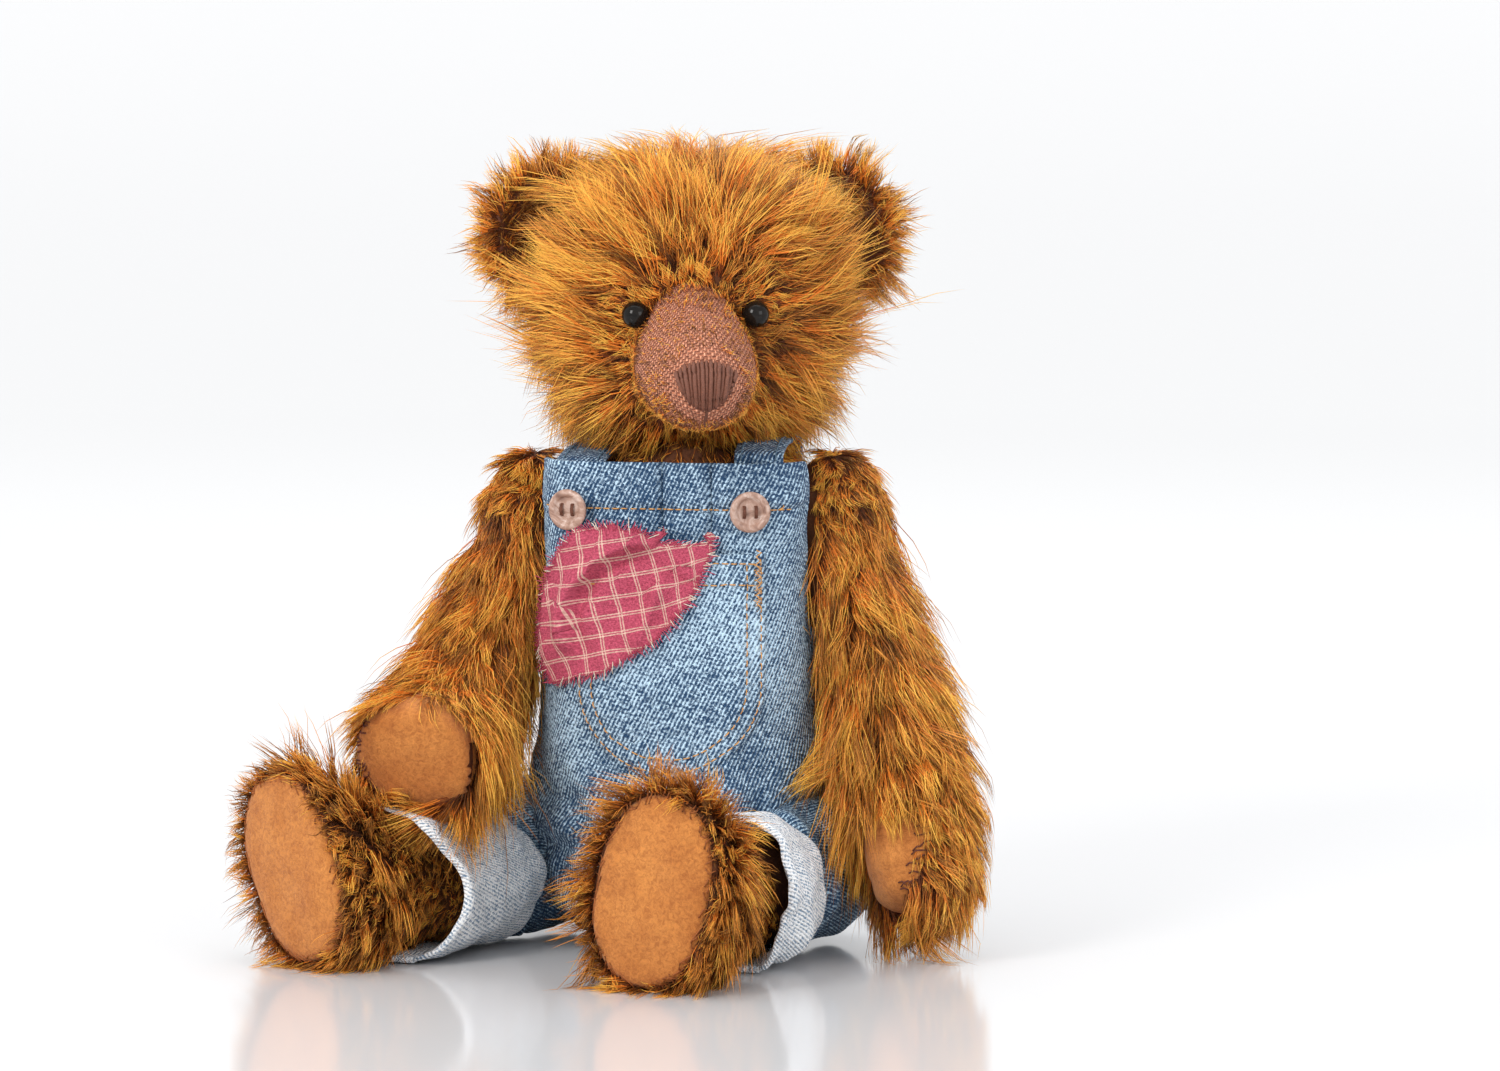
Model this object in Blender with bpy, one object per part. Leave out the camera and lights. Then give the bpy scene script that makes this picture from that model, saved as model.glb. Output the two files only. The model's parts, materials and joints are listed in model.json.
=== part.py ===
"""Jointed teddy bear in denim dungarees: five disc joints, seated, +Z up, bear facing -Y.

The origin is the middle of the flat underside of the seat. +X is the bear's own left.
"""
import math

import bmesh
import bpy
from mathutils import Matrix, Vector

MM = 0.001
X, Y, Z = Vector((1, 0, 0)), Vector((0, 1, 0)), Vector((0, 0, 1))

# ---- driving dimensions -------------------------------------------------------------
GAP = 0.3 * MM            # running and assembly gap between neighbouring pieces
CLOTH = 1.0 * MM          # backing cloth with its seam
DENIM = 1.2 * MM
PAD = 1.5 * MM            # felt of the paws and soles

NECK = Vector((2, 0, 148)) * MM
HEAD_YAW = math.radians(12)        # the head is turned a little to the bear's left
SHOULDER_X = 34.5 * MM
SHOULDER_Z = 124 * MM
HIP_Z = 23.5 * MM
HIP_OUT = 30 * MM                      # torso centre to each hip's flat
HIP_AHEAD = {1: -1 * MM, -1: 4 * MM}   # joint's place along its flat, by side (+1 the bear's left)
HIP_SPLAY = {1: math.radians(-12), -1: math.radians(18)}    # turn of each hip's flat
LEG_SPLAY = {1: math.radians(-18), -1: math.radians(37)}    # leg out from straight ahead
TOE_OUT = {1: math.radians(13), -1: math.radians(25)}       # lean of each upright foot

NECK_DISC_R = 10.5 * MM
SHOULDER_DISC_R = 8.5 * MM
HIP_DISC_R = 12.5 * MM
SHOULDER_FLAT = 16 * MM                # the torso is flat this far past each shoulder disc
HIP_FLAT_REACH = 46 * MM               # the dungarees and torso are flat this far either way of the hip,
HIP_FLAT_TOP = 49 * MM                 # and this far above it
LIMB_FLAT = 34 * MM                    # half side of the square in which a limb's inner face is flat
DISC_T = 2.5 * MM
BOLT_R = 2.5 * MM
BOLT_FLANGE_R = 5.5 * MM
BOLT_FLANGE_T = 1.2 * MM
BOLT_HEAD_R = 4.0 * MM
BOLT_HEAD_T = 2.5 * MM
NUT_R = 4.6 * MM
NUT_T = 4.0 * MM
BOLT_TAIL = 1.5 * MM                   # shank showing past the nut

EYE_R = 3.8 * MM
EYE_HALF_SPACING = 17.2 * MM
EYE_Z = 185 * MM
EYE_FORWARD = 37 * MM
EYE_SHANK_R = 0.8 * MM
EYE_SHANK = 7 * MM

EAR_PLACE = (40, 2, 207)               # sideways, forward and up from the neck's axis, mm
EAR_BOWL = [(0.3, 14), (0, 17), (-3.7, 16), (-7.2, 11.6), (-9, 4.5)]    # (ahead of the rim, radius), mm
EAR_HOLLOW = [(-6, 3.5), (-4.2, 9.6), (-1.2, 13.4), (3, 14.4)]

BIB_TOP = 142 * MM
BIB_BACK_EDGE = 20 * MM                # the bib reaches back to y = -BIB_BACK_EDGE
ARMHOLE_Z = 92 * MM
BACK_PANEL_TOP = 118 * MM
BACK_PANEL_Y = 18 * MM
BUTTON_R = 5.9 * MM
BUTTON_T = 2.4 * MM
BUTTON_X = 26 * MM
BUTTON_Z = 129 * MM
BUTTON_RIM = 1.2 * MM
BUTTON_DISH = 0.7 * MM
BUTTON_HOLE_R = 0.9 * MM
BUTTON_HOLE_X = 1.7 * MM               # half the spacing of the four holes
BUTTON_BACK_Y = -34.6 * MM             # the back of each button
BUTTON_LEAN = math.radians(17)         # turn of each button round the bib's corner
STRAP_WIDTH = 14 * MM
FAR = 90 * MM                          # cutters reach this far past what they cut

SIDES_BODY = 20
SIDES_LIMB = 14
SIDES_ROUND = 16

# ---- outlines: (z, half width, half depth, squareness), all but the last in mm -------
TORSO = [(1.9, 20, 18, 2), (7, 31, 29, 2), (20, 38, 36, 2), (45, 40.5, 40, 2), (75, 37, 37.5, 2),
         (104, 36.5, 32, 2.2), (126, 36, 26, 2.4), (138, 34, 20.5, 2.4), (144, 21, 17, 2.2),
         (147.85, 15.5, 14.5, 2)]
DUNGAREES = [(0, 24, 22, 2), (5, 34, 32, 2), (18, 42, 39.5, 2), (45, 44.5, 43, 2), (75, 41, 40.5, 2.4),
             (104, 37.5, 36, 3.2), (126, 36.5, 34, 4.4), (146, 36.5, 33, 5)]
HEAD = [(148.15, 16, 15.5, 2), (153, 26, 25, 2), (163, 34.5, 32.5, 2), (180, 40, 37.5, 2.1),
        (196, 41, 38, 2.2), (210, 38.5, 36, 2.3), (219, 31.5, 30, 2.2), (225, 19, 18, 2)]
# muzzle: (distance forward of the neck axis, height of centre, half width, half height)
MUZZLE = [(24, 176, 20, 21.5), (38, 175.5, 19.5, 21), (50, 173.5, 17, 18.5), (60, 171, 13.5, 14.5),
          (66, 169.5, 8, 8.5)]
NOSE_FORWARD = 64 * MM
NOSE_Z = 168.5 * MM
NOSE_ROWS = [(-9, 4, 3), (-4, 9, 6), (1, 9, 6), (4, 5, 3)]      # (forward, half width, half height), mm
MOUTH_DROP = (7 * MM, 15 * MM)         # the mouth stitch's top and foot below the nose's middle
MOUTH_HALF = 0.6 * MM
# arm paths from the shoulder: (out, forward, up, half thickness, half breadth), mm
ARM_LEFT = [(9.5, 0, 16, 7, 7), (9.5, 0, 12, 11.8, 11.8), (9.5, 0, 4, 13, 14), (10.5, 1, -9, 13, 14.3),
            (16.5, 4, -27, 12.5, 14.5), (25.5, 13, -51, 12.5, 14.5), (33.5, 24, -75, 13, 14.5),
            (38.5, 33, -96, 13.5, 15), (39.5, 37, -108, 9.5, 10)]
ARM_RIGHT = [(9.5, 0, 16, 7, 7), (9.5, 0, 12, 11.8, 11.8), (9.5, 0, 4, 13, 14), (10.5, 1, -9, 13, 14.3),
             (17.5, 5, -26, 12.5, 14.5), (26, 16, -46, 13, 14.5), (32, 33, -59, 14.5, 15),
             (34.5, 49, -65, 16, 16.5), (35.5, 57, -68, 13, 13.5)]
# leg: (distance along the leg from the hip centre, rise of centre, half thickness, half height, lean)
LEG = [(-20, 0, 7, 8, 0), (-16, 0, 11.5, 14.5, 0), (-8, 0, 13, 18.5, 0), (8, 0, 13.3, 19.3, 0),
       (26, -1.5, 13.3, 17.6, 0), (45, -4, 12.5, 15, 0), (68, -4.5, 13.5, 15.5, 0.3), (84, 1, 16.5, 22, 0.8),
       (94, 4, 18, 27, 1),
       (103, 5.2, 18.5, 28, 1)]
LIMB_SQUARENESS = 2.5
POCKET_HALF, POCKET_TOP, POCKET_STRAIGHT, POCKET_BOTTOM = 27, 116, 78, 52      # mm
POCKET_STEPS = 8                       # edges of its round bottom
HANDKERCHIEF = [(-27, 122), (-8, 125), (9, 121), (2, 106), (-10, 90), (-32, 79), (-34.5, 98),
                (-33, 112)]            # its outline on the bib, (x, z) in mm
# left strap's middle line from inside the bib to the back panel, mm; the right one mirrors it
STRAP_ROUTE = [(25.5, -23.4, 129.5), (25.5, -23.2, 137), (25.5, -20, 143), (25.5, -11, 146.2),
               (25.5, 4, 146.2), (25, 16, 143.5), (24, 24.5, 136), (22, 29.8, 125), (20.5, 33, 119.2)]
KNEE = 45                              # mm along the leg where it has turned to its own direction
LEG_OFFSET = 9.5 * MM                  # leg centreline out from the hip's plane
TROUSER_END = 46                       # mm along the leg
CUFF = [(41, 17.2, 19.4), (49, 17.6, 19.6), (58, 18.4, 19.8)]   # (along, half thickness, half height)
CUFF_RISE = -3.2


# ---- small helpers --------------------------------------------------------------------
def material(name, colour, roughness, metallic=0.0):
    """One Principled material, made once and shared by name."""
    made = bpy.data.materials.get(name)
    if made:
        return made
    made = bpy.data.materials.new(name)
    made.use_nodes = True
    shader = made.node_tree.nodes["Principled BSDF"]
    shader.inputs["Base Color"].default_value = (*colour, 1.0)
    shader.inputs["Roughness"].default_value = roughness
    shader.inputs["Metallic"].default_value = metallic
    return made


def mohair():
    return material("mohair_backing", (0.42, 0.21, 0.07), 0.9)


def felt():
    return material("pad_felt", (0.55, 0.23, 0.06), 0.95)


def denim():
    return material("denim", (0.16, 0.27, 0.38), 0.85)


def denim_reverse():
    return material("denim_reverse", (0.50, 0.60, 0.68), 0.85)


def wadding():
    return material("wadding", (0.86, 0.84, 0.78), 1.0)


def hardboard():
    return material("hardboard", (0.36, 0.24, 0.14), 0.8)


def steel():
    return material("zinc_steel", (0.62, 0.62, 0.60), 0.35, 1.0)


def thread():
    return material("brown_thread", (0.10, 0.05, 0.035), 0.7)


def add_object(name, bm, look, smooth=False):
    """Turns a bmesh with outward faces into a named object."""
    bmesh.ops.recalc_face_normals(bm, faces=bm.faces)
    mesh = bpy.data.meshes.new(name)
    bm.to_mesh(mesh)
    bm.free()
    if smooth:
        mesh.shade_smooth()
        mesh.set_sharp_from_angle(angle=math.radians(40))
    thing = bpy.data.objects.new(name, mesh)
    bpy.context.scene.collection.objects.link(thing)
    if look:
        mesh.materials.append(look)
    return thing


def as_cutter(thing):
    """Marks a guide body that only shapes other pieces."""
    thing.hide_render = True
    thing.display_type = "WIRE"
    return thing


def boolean(target, tool, operation="DIFFERENCE"):
    """Adds one exact Boolean to the target."""
    step = target.modifiers.new(tool.name, "BOOLEAN")
    step.operation = operation
    step.solver = "EXACT"
    step.object = tool


def skin_loft(rings, name, look, smooth=True):
    """A closed body through equal rings of points, with flat ends."""
    bm = bmesh.new()
    loops = [[bm.verts.new(point) for point in ring] for ring in rings]
    for low, high in zip(loops, loops[1:]):
        for i in range(len(low)):
            j = (i + 1) % len(low)
            bm.faces.new((low[i], low[j], high[j]))
            bm.faces.new((low[i], high[j], high[i]))
    bm.faces.new(loops[0])
    bm.faces.new(loops[-1])
    return add_object(name, bm, look, smooth)


def superellipse(centre, across, along, half_a, half_b, power, sides):
    """Points of a squared-off ellipse in the plane of two unit vectors."""
    points = []
    for i in range(sides):
        angle = 2 * math.pi * (i + 0.5) / sides
        c, s = math.cos(angle), math.sin(angle)
        a = math.copysign(abs(c) ** (2 / power), c) * half_a
        b = math.copysign(abs(s) ** (2 / power), s) * half_b
        points.append(centre + across * a + along * b)
    return points


def end_shift(index, count, grow):
    """How far the first and last ring of a loft move out when the body grows."""
    if index == 0:
        return -grow
    return grow if index == count - 1 else 0.0


def column(name, outline, grow=0.0, centre=Vector((0, 0, 0)), look=None, yaw=0.0):
    """An upright body from (z, half width, half depth, squareness) rows, grown by a margin."""
    turn = Matrix.Rotation(yaw, 3, "Z")
    rings = []
    for i, (z, wide, deep, power) in enumerate(outline):
        middle = Vector((centre.x, centre.y, z * MM + end_shift(i, len(outline), grow)))
        rings.append(superellipse(middle, turn @ X, turn @ Y, wide * MM + grow, deep * MM + grow,
                                  power, SIDES_BODY))
    return skin_loft(rings, name, look)


def prism(name, outline, toward, depth, look=None):
    """A flat outline (list of points) pushed along a direction into a closed body."""
    shift = toward.normalized() * depth
    return skin_loft([outline, [point + shift for point in outline]], name, look, smooth=False)


def cylinder(name, start, axis, length, radius, sides=SIDES_ROUND, look=None):
    """A closed cylinder from a start point along an axis."""
    axis = axis.normalized()
    side = axis.orthogonal().normalized()
    up = axis.cross(side)
    rings = [superellipse(start + axis * d, side, up, radius, radius, 2, sides) for d in (0, length)]
    return skin_loft(rings, name, look)


def turned(name, start, axis, profile, sides, look):
    """A solid of revolution from (distance along the axis, radius) pairs."""
    axis = axis.normalized()
    side = axis.orthogonal().normalized()
    up = axis.cross(side)
    rings = [superellipse(start + axis * d, side, up, r, r, 2, sides) for d, r in profile]
    return skin_loft(rings, name, look)


def bored_ring(name, start, axis, length, outer, bore, outer_sides, look):
    """A plate or nut with a round bore, as one closed body."""
    axis = axis.normalized()
    side = axis.orthogonal().normalized()
    up = axis.cross(side)
    bm = bmesh.new()
    loops = []
    for distance in (0, length):
        for radius in (outer, bore):
            ring = superellipse(start + axis * distance, side, up, radius, radius, 2, outer_sides)
            loops.append([bm.verts.new(point) for point in ring])
    low_out, low_in, high_out, high_in = loops
    for one, two in ((low_out, high_out), (high_out, high_in), (high_in, low_in), (low_in, low_out)):
        for i in range(outer_sides):
            j = (i + 1) % outer_sides
            bm.faces.new((one[i], one[j], two[j], two[i]))
    return add_object(name, bm, look, smooth=True)


def box(name, low, high):
    """An axis-aligned cutter box between two corners."""
    corners = [Vector((low[0], low[1], low[2])), Vector((high[0], low[1], low[2])),
               Vector((high[0], high[1], low[2])), Vector((low[0], high[1], low[2]))]
    return as_cutter(prism(name, corners, Z, high[2] - low[2]))


# ---- joints -----------------------------------------------------------------------------
class DiscJoint:
    """A disc joint: its axis points from the torso into the limb or head."""

    def __init__(self, name, point, axis, disc_r, margin):
        self.name = name
        self.point = point
        self.axis = axis.normalized()
        self.disc_r = disc_r
        self.seat_r = disc_r + margin

    def at(self, distance):
        return self.point + self.axis * distance


def ahead_at(side, splay):
    """Level unit vector straight ahead, turned out by an angle. side is +1 for the bear's left."""
    return Vector((side * math.sin(splay), -math.cos(splay), 0))


def outward_at(side, splay):
    """Level unit vector square to ahead_at, pointing away from the torso."""
    return Vector((side * math.cos(splay), math.sin(splay), 0))


def hip_joint(side, word):
    """The hip lies on a flat at the torso's side, turned with the leg."""
    axis = outward_at(side, HIP_SPLAY[side])
    point = axis * HIP_OUT + ahead_at(side, HIP_SPLAY[side]) * HIP_AHEAD[side] + Z * HIP_Z
    return DiscJoint(f"hip_{word}", point, axis, HIP_DISC_R, 0)


JOINTS = {
    "neck": DiscJoint("neck", NECK, Z, NECK_DISC_R, 0),
    "shoulder_left": DiscJoint("shoulder_left", Vector((SHOULDER_X, 0, SHOULDER_Z)), X,
                               SHOULDER_DISC_R, SHOULDER_FLAT),
    "shoulder_right": DiscJoint("shoulder_right", Vector((-SHOULDER_X, 0, SHOULDER_Z)), -X,
                                SHOULDER_DISC_R, SHOULDER_FLAT),
    "hip_left": hip_joint(1, "left"),
    "hip_right": hip_joint(-1, "right"),
}
FACE = GAP / 2                                    # cloth face to the joint's middle plane
DISC_START = FACE + CLOTH + GAP                   # near face of each disc
METAL_START = DISC_START + DISC_T + GAP           # under the bolt head, and under the nut


def torso_side_cutter(joint, depth, name):
    """Flattens the torso and its clothes where a limb lies against them."""
    start = joint.at(-FACE - depth)
    if joint.name.startswith("hip"):
        along = joint.axis.cross(Z)
        below, above = -(HIP_Z + 5 * MM), HIP_FLAT_TOP - HIP_Z
        corners = [start + along * s * HIP_FLAT_REACH + Z * height
                   for s, height in ((-1, below), (1, below), (1, above), (-1, above))]
        return as_cutter(prism(name, corners, joint.axis, FAR))
    return as_cutter(cylinder(name, start, joint.axis, FAR, joint.seat_r + depth))


def joint_hardware(joint):
    """Two hardboard discs, a flanged bolt from the limb side and a lock nut in the torso."""
    bore = BOLT_R + GAP
    inner = bored_ring(f"{joint.name}_body_disc", joint.at(-DISC_START), -joint.axis, DISC_T,
                       joint.disc_r, bore, SIDES_ROUND, hardboard())
    far_disc = "neck_head_disc" if joint.name == "neck" else f"{joint.name}_limb_disc"
    outer = bored_ring(far_disc, joint.at(DISC_START), joint.axis, DISC_T,
                       joint.disc_r, bore, SIDES_ROUND, hardboard())
    head = METAL_START
    tail = -(METAL_START + NUT_T + BOLT_TAIL)
    profile = [(tail, BOLT_R), (head, BOLT_R), (head, BOLT_FLANGE_R),
               (head + BOLT_FLANGE_T, BOLT_FLANGE_R), (head + BOLT_FLANGE_T, BOLT_HEAD_R),
               (head + BOLT_FLANGE_T + BOLT_HEAD_T, BOLT_HEAD_R)]
    bolt = turned(f"{joint.name}_bolt", joint.point, joint.axis, profile, 12, steel())
    nut = bored_ring(f"{joint.name}_lock_nut", joint.at(-METAL_START), -joint.axis, NUT_T,
                     NUT_R, bore, 6, steel())
    return inner, outer, bolt, nut


def hardware_pocket(joint, side, name):
    """Room in the stuffing for one side's disc and metal: side +1 is the limb's, -1 the torso's."""
    metal = BOLT_FLANGE_R + GAP
    depth = METAL_START + GAP + (BOLT_FLANGE_T + BOLT_HEAD_T if side > 0 else NUT_T + BOLT_TAIL)
    disc = joint.disc_r + GAP
    profile = [(-5 * MM, disc), (METAL_START, disc), (METAL_START, metal), (depth, metal)]
    return as_cutter(turned(name, joint.point, joint.axis * side, profile, SIDES_ROUND, None))


def bolt_hole(joint, name):
    """The hole for a bolt through both covers."""
    return as_cutter(cylinder(name, joint.at(-METAL_START), joint.axis, 2 * METAL_START,
                              BOLT_R + GAP, 12))


# ---- torso -----------------------------------------------------------------------------
def torso():
    cover = column("torso_cover", TORSO, look=mohair())
    hollow = as_cutter(column("torso_hollow", TORSO, grow=-CLOTH))
    stuffing = column("torso_stuffing", TORSO, grow=-(CLOTH + GAP), look=wadding())
    pieces = []
    for joint in JOINTS.values():
        if joint.name != "neck":
            boolean(cover, torso_side_cutter(joint, 0, f"{joint.name}_flat"))
            boolean(hollow, torso_side_cutter(joint, CLOTH, f"{joint.name}_flat_in"))
            boolean(stuffing, torso_side_cutter(joint, CLOTH + GAP, f"{joint.name}_flat_stuffing"))
        boolean(stuffing, hardware_pocket(joint, -1, f"{joint.name}_pocket_body"))
    boolean(cover, hollow)
    for joint in JOINTS.values():
        boolean(cover, bolt_hole(joint, f"{joint.name}_hole_body"))
        inner, outer, bolt, nut = joint_hardware(joint)
        pieces.append(inner)
        HARDWARE[joint.name] = [outer, bolt, nut]
    return [cover, stuffing] + pieces


# ---- head ------------------------------------------------------------------------------
def head_point(sideways, forward, z):
    """A point given in the turned head's own directions."""
    turn = Matrix.Rotation(HEAD_YAW, 3, "Z")
    return Vector((NECK.x, NECK.y, 0)) + turn @ Vector((sideways, -forward, 0)) + Z * z


def head_direction(sideways, forward, up):
    """A unit direction given in the turned head's own directions."""
    return (Matrix.Rotation(HEAD_YAW, 3, "Z") @ Vector((sideways, -forward, up))).normalized()


def head_column(name, grow, look=None):
    return column(name, HEAD, grow, NECK, look, HEAD_YAW)


def muzzle_loft(name, grow, look=None):
    across = head_direction(1, 0, 0)
    rings = []
    for i, (forward, z, wide, high) in enumerate(MUZZLE):
        ahead = forward * MM + end_shift(i, len(MUZZLE), grow)
        rings.append(superellipse(head_point(0, ahead, z * MM), across, Z, wide * MM + grow,
                                  high * MM + grow, 2.2, SIDES_LIMB))
    return skin_loft(rings, name, look)


def eye_profile(grow):
    """Glass ball and wire shank, from the shank's end to the front of the ball."""
    radius = EYE_R + grow
    profile = [(-EYE_SHANK - grow, EYE_SHANK_R + grow)]
    rows = 6
    start = math.asin((EYE_SHANK_R + grow) / radius)
    for i in range(rows):
        angle = start + (math.pi - 2 * start) * i / (rows - 1)
        profile.append((-math.cos(angle) * radius, math.sin(angle) * radius))
    return profile


def eye(side, name, grow, look=None):
    centre = head_point(side * EYE_HALF_SPACING, EYE_FORWARD, EYE_Z)
    return turned(name, centre, head_direction(side * 0.35, 1, 0.05), eye_profile(grow), 12, look)


def ear(side, name):
    """A cupped ear: a thick bowl, its open side forwards, cut where it meets the head."""
    out = head_direction(side, 0, 0.55)
    ahead = head_direction(-side * 0.25, 1, 0.05)
    ahead = (ahead - out * ahead.dot(out)).normalized()
    up = out.cross(ahead) * side
    sideways, forward, height = EAR_PLACE
    centre = head_point(side * sideways * MM, forward * MM, height * MM)

    def round_rings(profile):
        return [superellipse(centre + ahead * d * MM, out, up, r * MM, r * MM, 2, SIDES_LIMB)
                for d, r in profile]

    cup = skin_loft(round_rings(EAR_BOWL), name, mohair())
    boolean(cup, as_cutter(skin_loft(round_rings(EAR_HOLLOW), f"{name}_cup", None)))
    boolean(cup, head_grown())
    return cup


def head_grown():
    """The head's outside plus the assembly gap, made once."""
    return bpy.data.objects.get("head_grown") or as_cutter(head_column("head_grown", GAP))


def head():
    joint = JOINTS["neck"]
    cover = head_column("head_cover", 0, mohair())
    hollow = as_cutter(head_column("head_hollow", -CLOTH))
    stuffing = head_column("head_stuffing", -(CLOTH + GAP), wadding())
    boolean(cover, hollow)
    boolean(cover, bolt_hole(joint, "neck_hole_head"))
    boolean(stuffing, hardware_pocket(joint, 1, "neck_pocket_head"))
    woven = material("muzzle_cloth", (0.38, 0.17, 0.10), 0.9)
    muzzle = muzzle_loft("muzzle_cover", 0, woven)
    muzzle_stuffing = muzzle_loft("muzzle_stuffing", -(CLOTH + GAP), wadding())
    boolean(muzzle, as_cutter(muzzle_loft("muzzle_hollow", -CLOTH)))
    glass = material("black_glass", (0.01, 0.01, 0.01), 0.03)
    pieces = [cover, stuffing, muzzle, muzzle_stuffing]
    for piece in (muzzle, muzzle_stuffing):
        boolean(piece, head_grown())
    for side, word in ((1, "left"), (-1, "right")):
        socket = as_cutter(eye(side, f"eye_socket_{word}", GAP))
        for piece in (cover, stuffing, muzzle, muzzle_stuffing):
            boolean(piece, socket)
        pieces.append(eye(side, f"eye_{word}", 0, glass))
        pieces.append(ear(side, f"ear_{word}"))
    pieces += nose_and_mouth()
    return pieces


def nose_and_mouth():
    """The stitched nose block and the short stitch under it, both laid on the muzzle."""
    across = head_direction(1, 0, 0)
    muzzle_skin = as_cutter(muzzle_loft("muzzle_grown", GAP))
    rings = [superellipse(head_point(0, NOSE_FORWARD + d * MM, NOSE_Z), across, Z, a * MM, b * MM,
                          2.4, SIDES_LIMB) for d, a, b in NOSE_ROWS]
    nose = skin_loft(rings, "nose_stitching", thread())
    boolean(nose, muzzle_skin)
    high, low = (NOSE_Z - drop for drop in MOUTH_DROP)
    outline = [head_point(s * MOUTH_HALF, NOSE_FORWARD - 12 * MM, z)
               for s, z in ((-1, low), (1, low), (1, high), (-1, high))]
    mouth = prism("mouth_stitch", outline, head_direction(0, 1, 0), 15.4 * MM, thread())
    boolean(mouth, muzzle_skin)
    return [nose, mouth]


# ---- arms ------------------------------------------------------------------------------
def arm_rings(side, path, grow):
    """Rings across an arm's curved centreline, the first axis pointing away from the body."""
    centres = [Vector((side * (SHOULDER_X + out * MM), -ahead * MM, SHOULDER_Z + up * MM))
               for out, ahead, up, _, _ in path]
    rings = []
    for i, (_, _, _, thick, broad) in enumerate(path):
        before, after = centres[max(i - 1, 0)], centres[min(i + 1, len(path) - 1)]
        tangent = (after - before).normalized()
        out = (X * side - tangent * tangent.x * side).normalized()
        middle = centres[i] + tangent * end_shift(i, len(path), grow)
        rings.append(superellipse(middle, out, tangent.cross(out), thick * MM + grow,
                                  broad * MM + grow, LIMB_SQUARENESS, SIDES_LIMB))
    return rings


def joint_plane_cutter(joint, inset, name):
    """What lies on the torso's side of a limb's flat inner face, near the joint."""
    side = joint.axis.orthogonal().normalized()
    up = joint.axis.cross(side)
    start = joint.at(FACE + inset)
    corners = [start + side * a * LIMB_FLAT + up * b * LIMB_FLAT
               for a, b in ((-1, -1), (1, -1), (1, 1), (-1, 1))]
    return as_cutter(prism(name, corners, -joint.axis, FAR))


def limb(joint, body, rings_for):
    """Cover and stuffing of a limb from a function that gives its rings at a growth."""
    cover = skin_loft(rings_for(0), f"{body}_cover", mohair())
    hollow = as_cutter(skin_loft(rings_for(-CLOTH), f"{body}_hollow", None))
    stuffing = skin_loft(rings_for(-(CLOTH + GAP)), f"{body}_stuffing", wadding())
    for piece, inset in ((cover, 0), (hollow, CLOTH), (stuffing, CLOTH + GAP)):
        boolean(piece, joint_plane_cutter(joint, inset, f"{piece.name}_plane"))
    boolean(cover, hollow)
    boolean(cover, bolt_hole(joint, f"{joint.name}_hole_limb"))
    boolean(stuffing, hardware_pocket(joint, 1, f"{joint.name}_pocket_limb"))
    return [cover, stuffing]


def paw_pad(name, rings_for, centre, normal, half_wide, half_high):
    """A felt pad that follows the paw's surface inside an oval outline."""
    pad = skin_loft(rings_for(GAP + PAD), name, felt())
    side = normal.cross(Z).normalized()
    up = side.cross(normal).normalized()
    oval = superellipse(centre, side, up, half_wide, half_high, 2, SIDES_LIMB)
    boolean(pad, as_cutter(prism(f"{name}_outline", oval, normal, FAR)), "INTERSECT")
    boolean(pad, as_cutter(skin_loft(rings_for(GAP), f"{name}_inside", None)))
    return pad


def arm(side):
    word = "left" if side > 0 else "right"
    joint = JOINTS[f"shoulder_{word}"]
    path = ARM_LEFT if side > 0 else ARM_RIGHT

    def rings_for(grow):
        return arm_rings(side, path, grow)

    pieces = limb(joint, f"arm_{word}", rings_for)
    out, ahead, up, _, _ = path[-2]
    paw = Vector((side * (SHOULDER_X + out * MM), -ahead * MM, SHOULDER_Z + up * MM))
    if side > 0:
        pad = paw_pad("paw_pad_left", rings_for, paw + Z * 4 * MM, Vector((-0.72, -0.69, 0)),
                      12.5 * MM, 18 * MM)
    else:
        pad = paw_pad("paw_pad_right", rings_for, paw, Vector((-0.22, -0.97, 0.05)),
                      15 * MM, 15 * MM)
    return pieces + [pad]


# ---- legs ------------------------------------------------------------------------------
def leg_rings(side, rows, grow, joint):
    """Rings from (along, rise, half thickness, half height, lean) rows: square to the hip's flat
    at the thigh, turning square to the leg by the knee."""
    start = joint.point + joint.axis * LEG_OFFSET
    rings = []
    for i, (along, rise, thick, high, lean) in enumerate(rows):
        turned_out = HIP_SPLAY[side] + (LEG_SPLAY[side] - HIP_SPLAY[side]) * min(max(along / KNEE, 0), 1)
        route = ahead_at(side, LEG_SPLAY[side] if along > 0 else HIP_SPLAY[side])
        square, outward = ahead_at(side, turned_out), outward_at(side, turned_out)
        tilt = Matrix.Rotation(-side * lean * TOE_OUT[side], 3, square)
        middle = start + route * along * MM + square * end_shift(i, len(rows), grow) + Z * rise * MM
        rings.append(superellipse(middle, tilt @ outward, tilt @ Z, thick * MM + grow,
                                  high * MM + grow, LIMB_SQUARENESS - 0.5 * lean, SIDES_LIMB))
    return rings


def sole_pad(word, rings_for):
    """A flat felt plate against the end of the foot."""
    end = rings_for(0)[-1]
    middle = sum(end, Vector()) / len(end)
    ahead = (end[1] - end[0]).cross(end[3] - end[0]).normalized()
    if ahead.y > 0:
        ahead = -ahead
    shrunk = [middle + (point - middle) * 0.99 + ahead * GAP for point in end]
    return prism(f"sole_pad_{word}", shrunk, ahead, PAD, felt())


def trouser_shell(name, outer, inner, joint, look, hang):
    """A denim tube round the thigh, open at both ends and flat against the joint's plane."""
    tube = skin_loft(outer, name, look)
    boolean(tube, as_cutter(skin_loft(inner, f"{name}_inside", None)))
    if hang:
        boolean(tube, joint_plane_cutter(joint, 0, f"{name}_plane"))
    return tube


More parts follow.
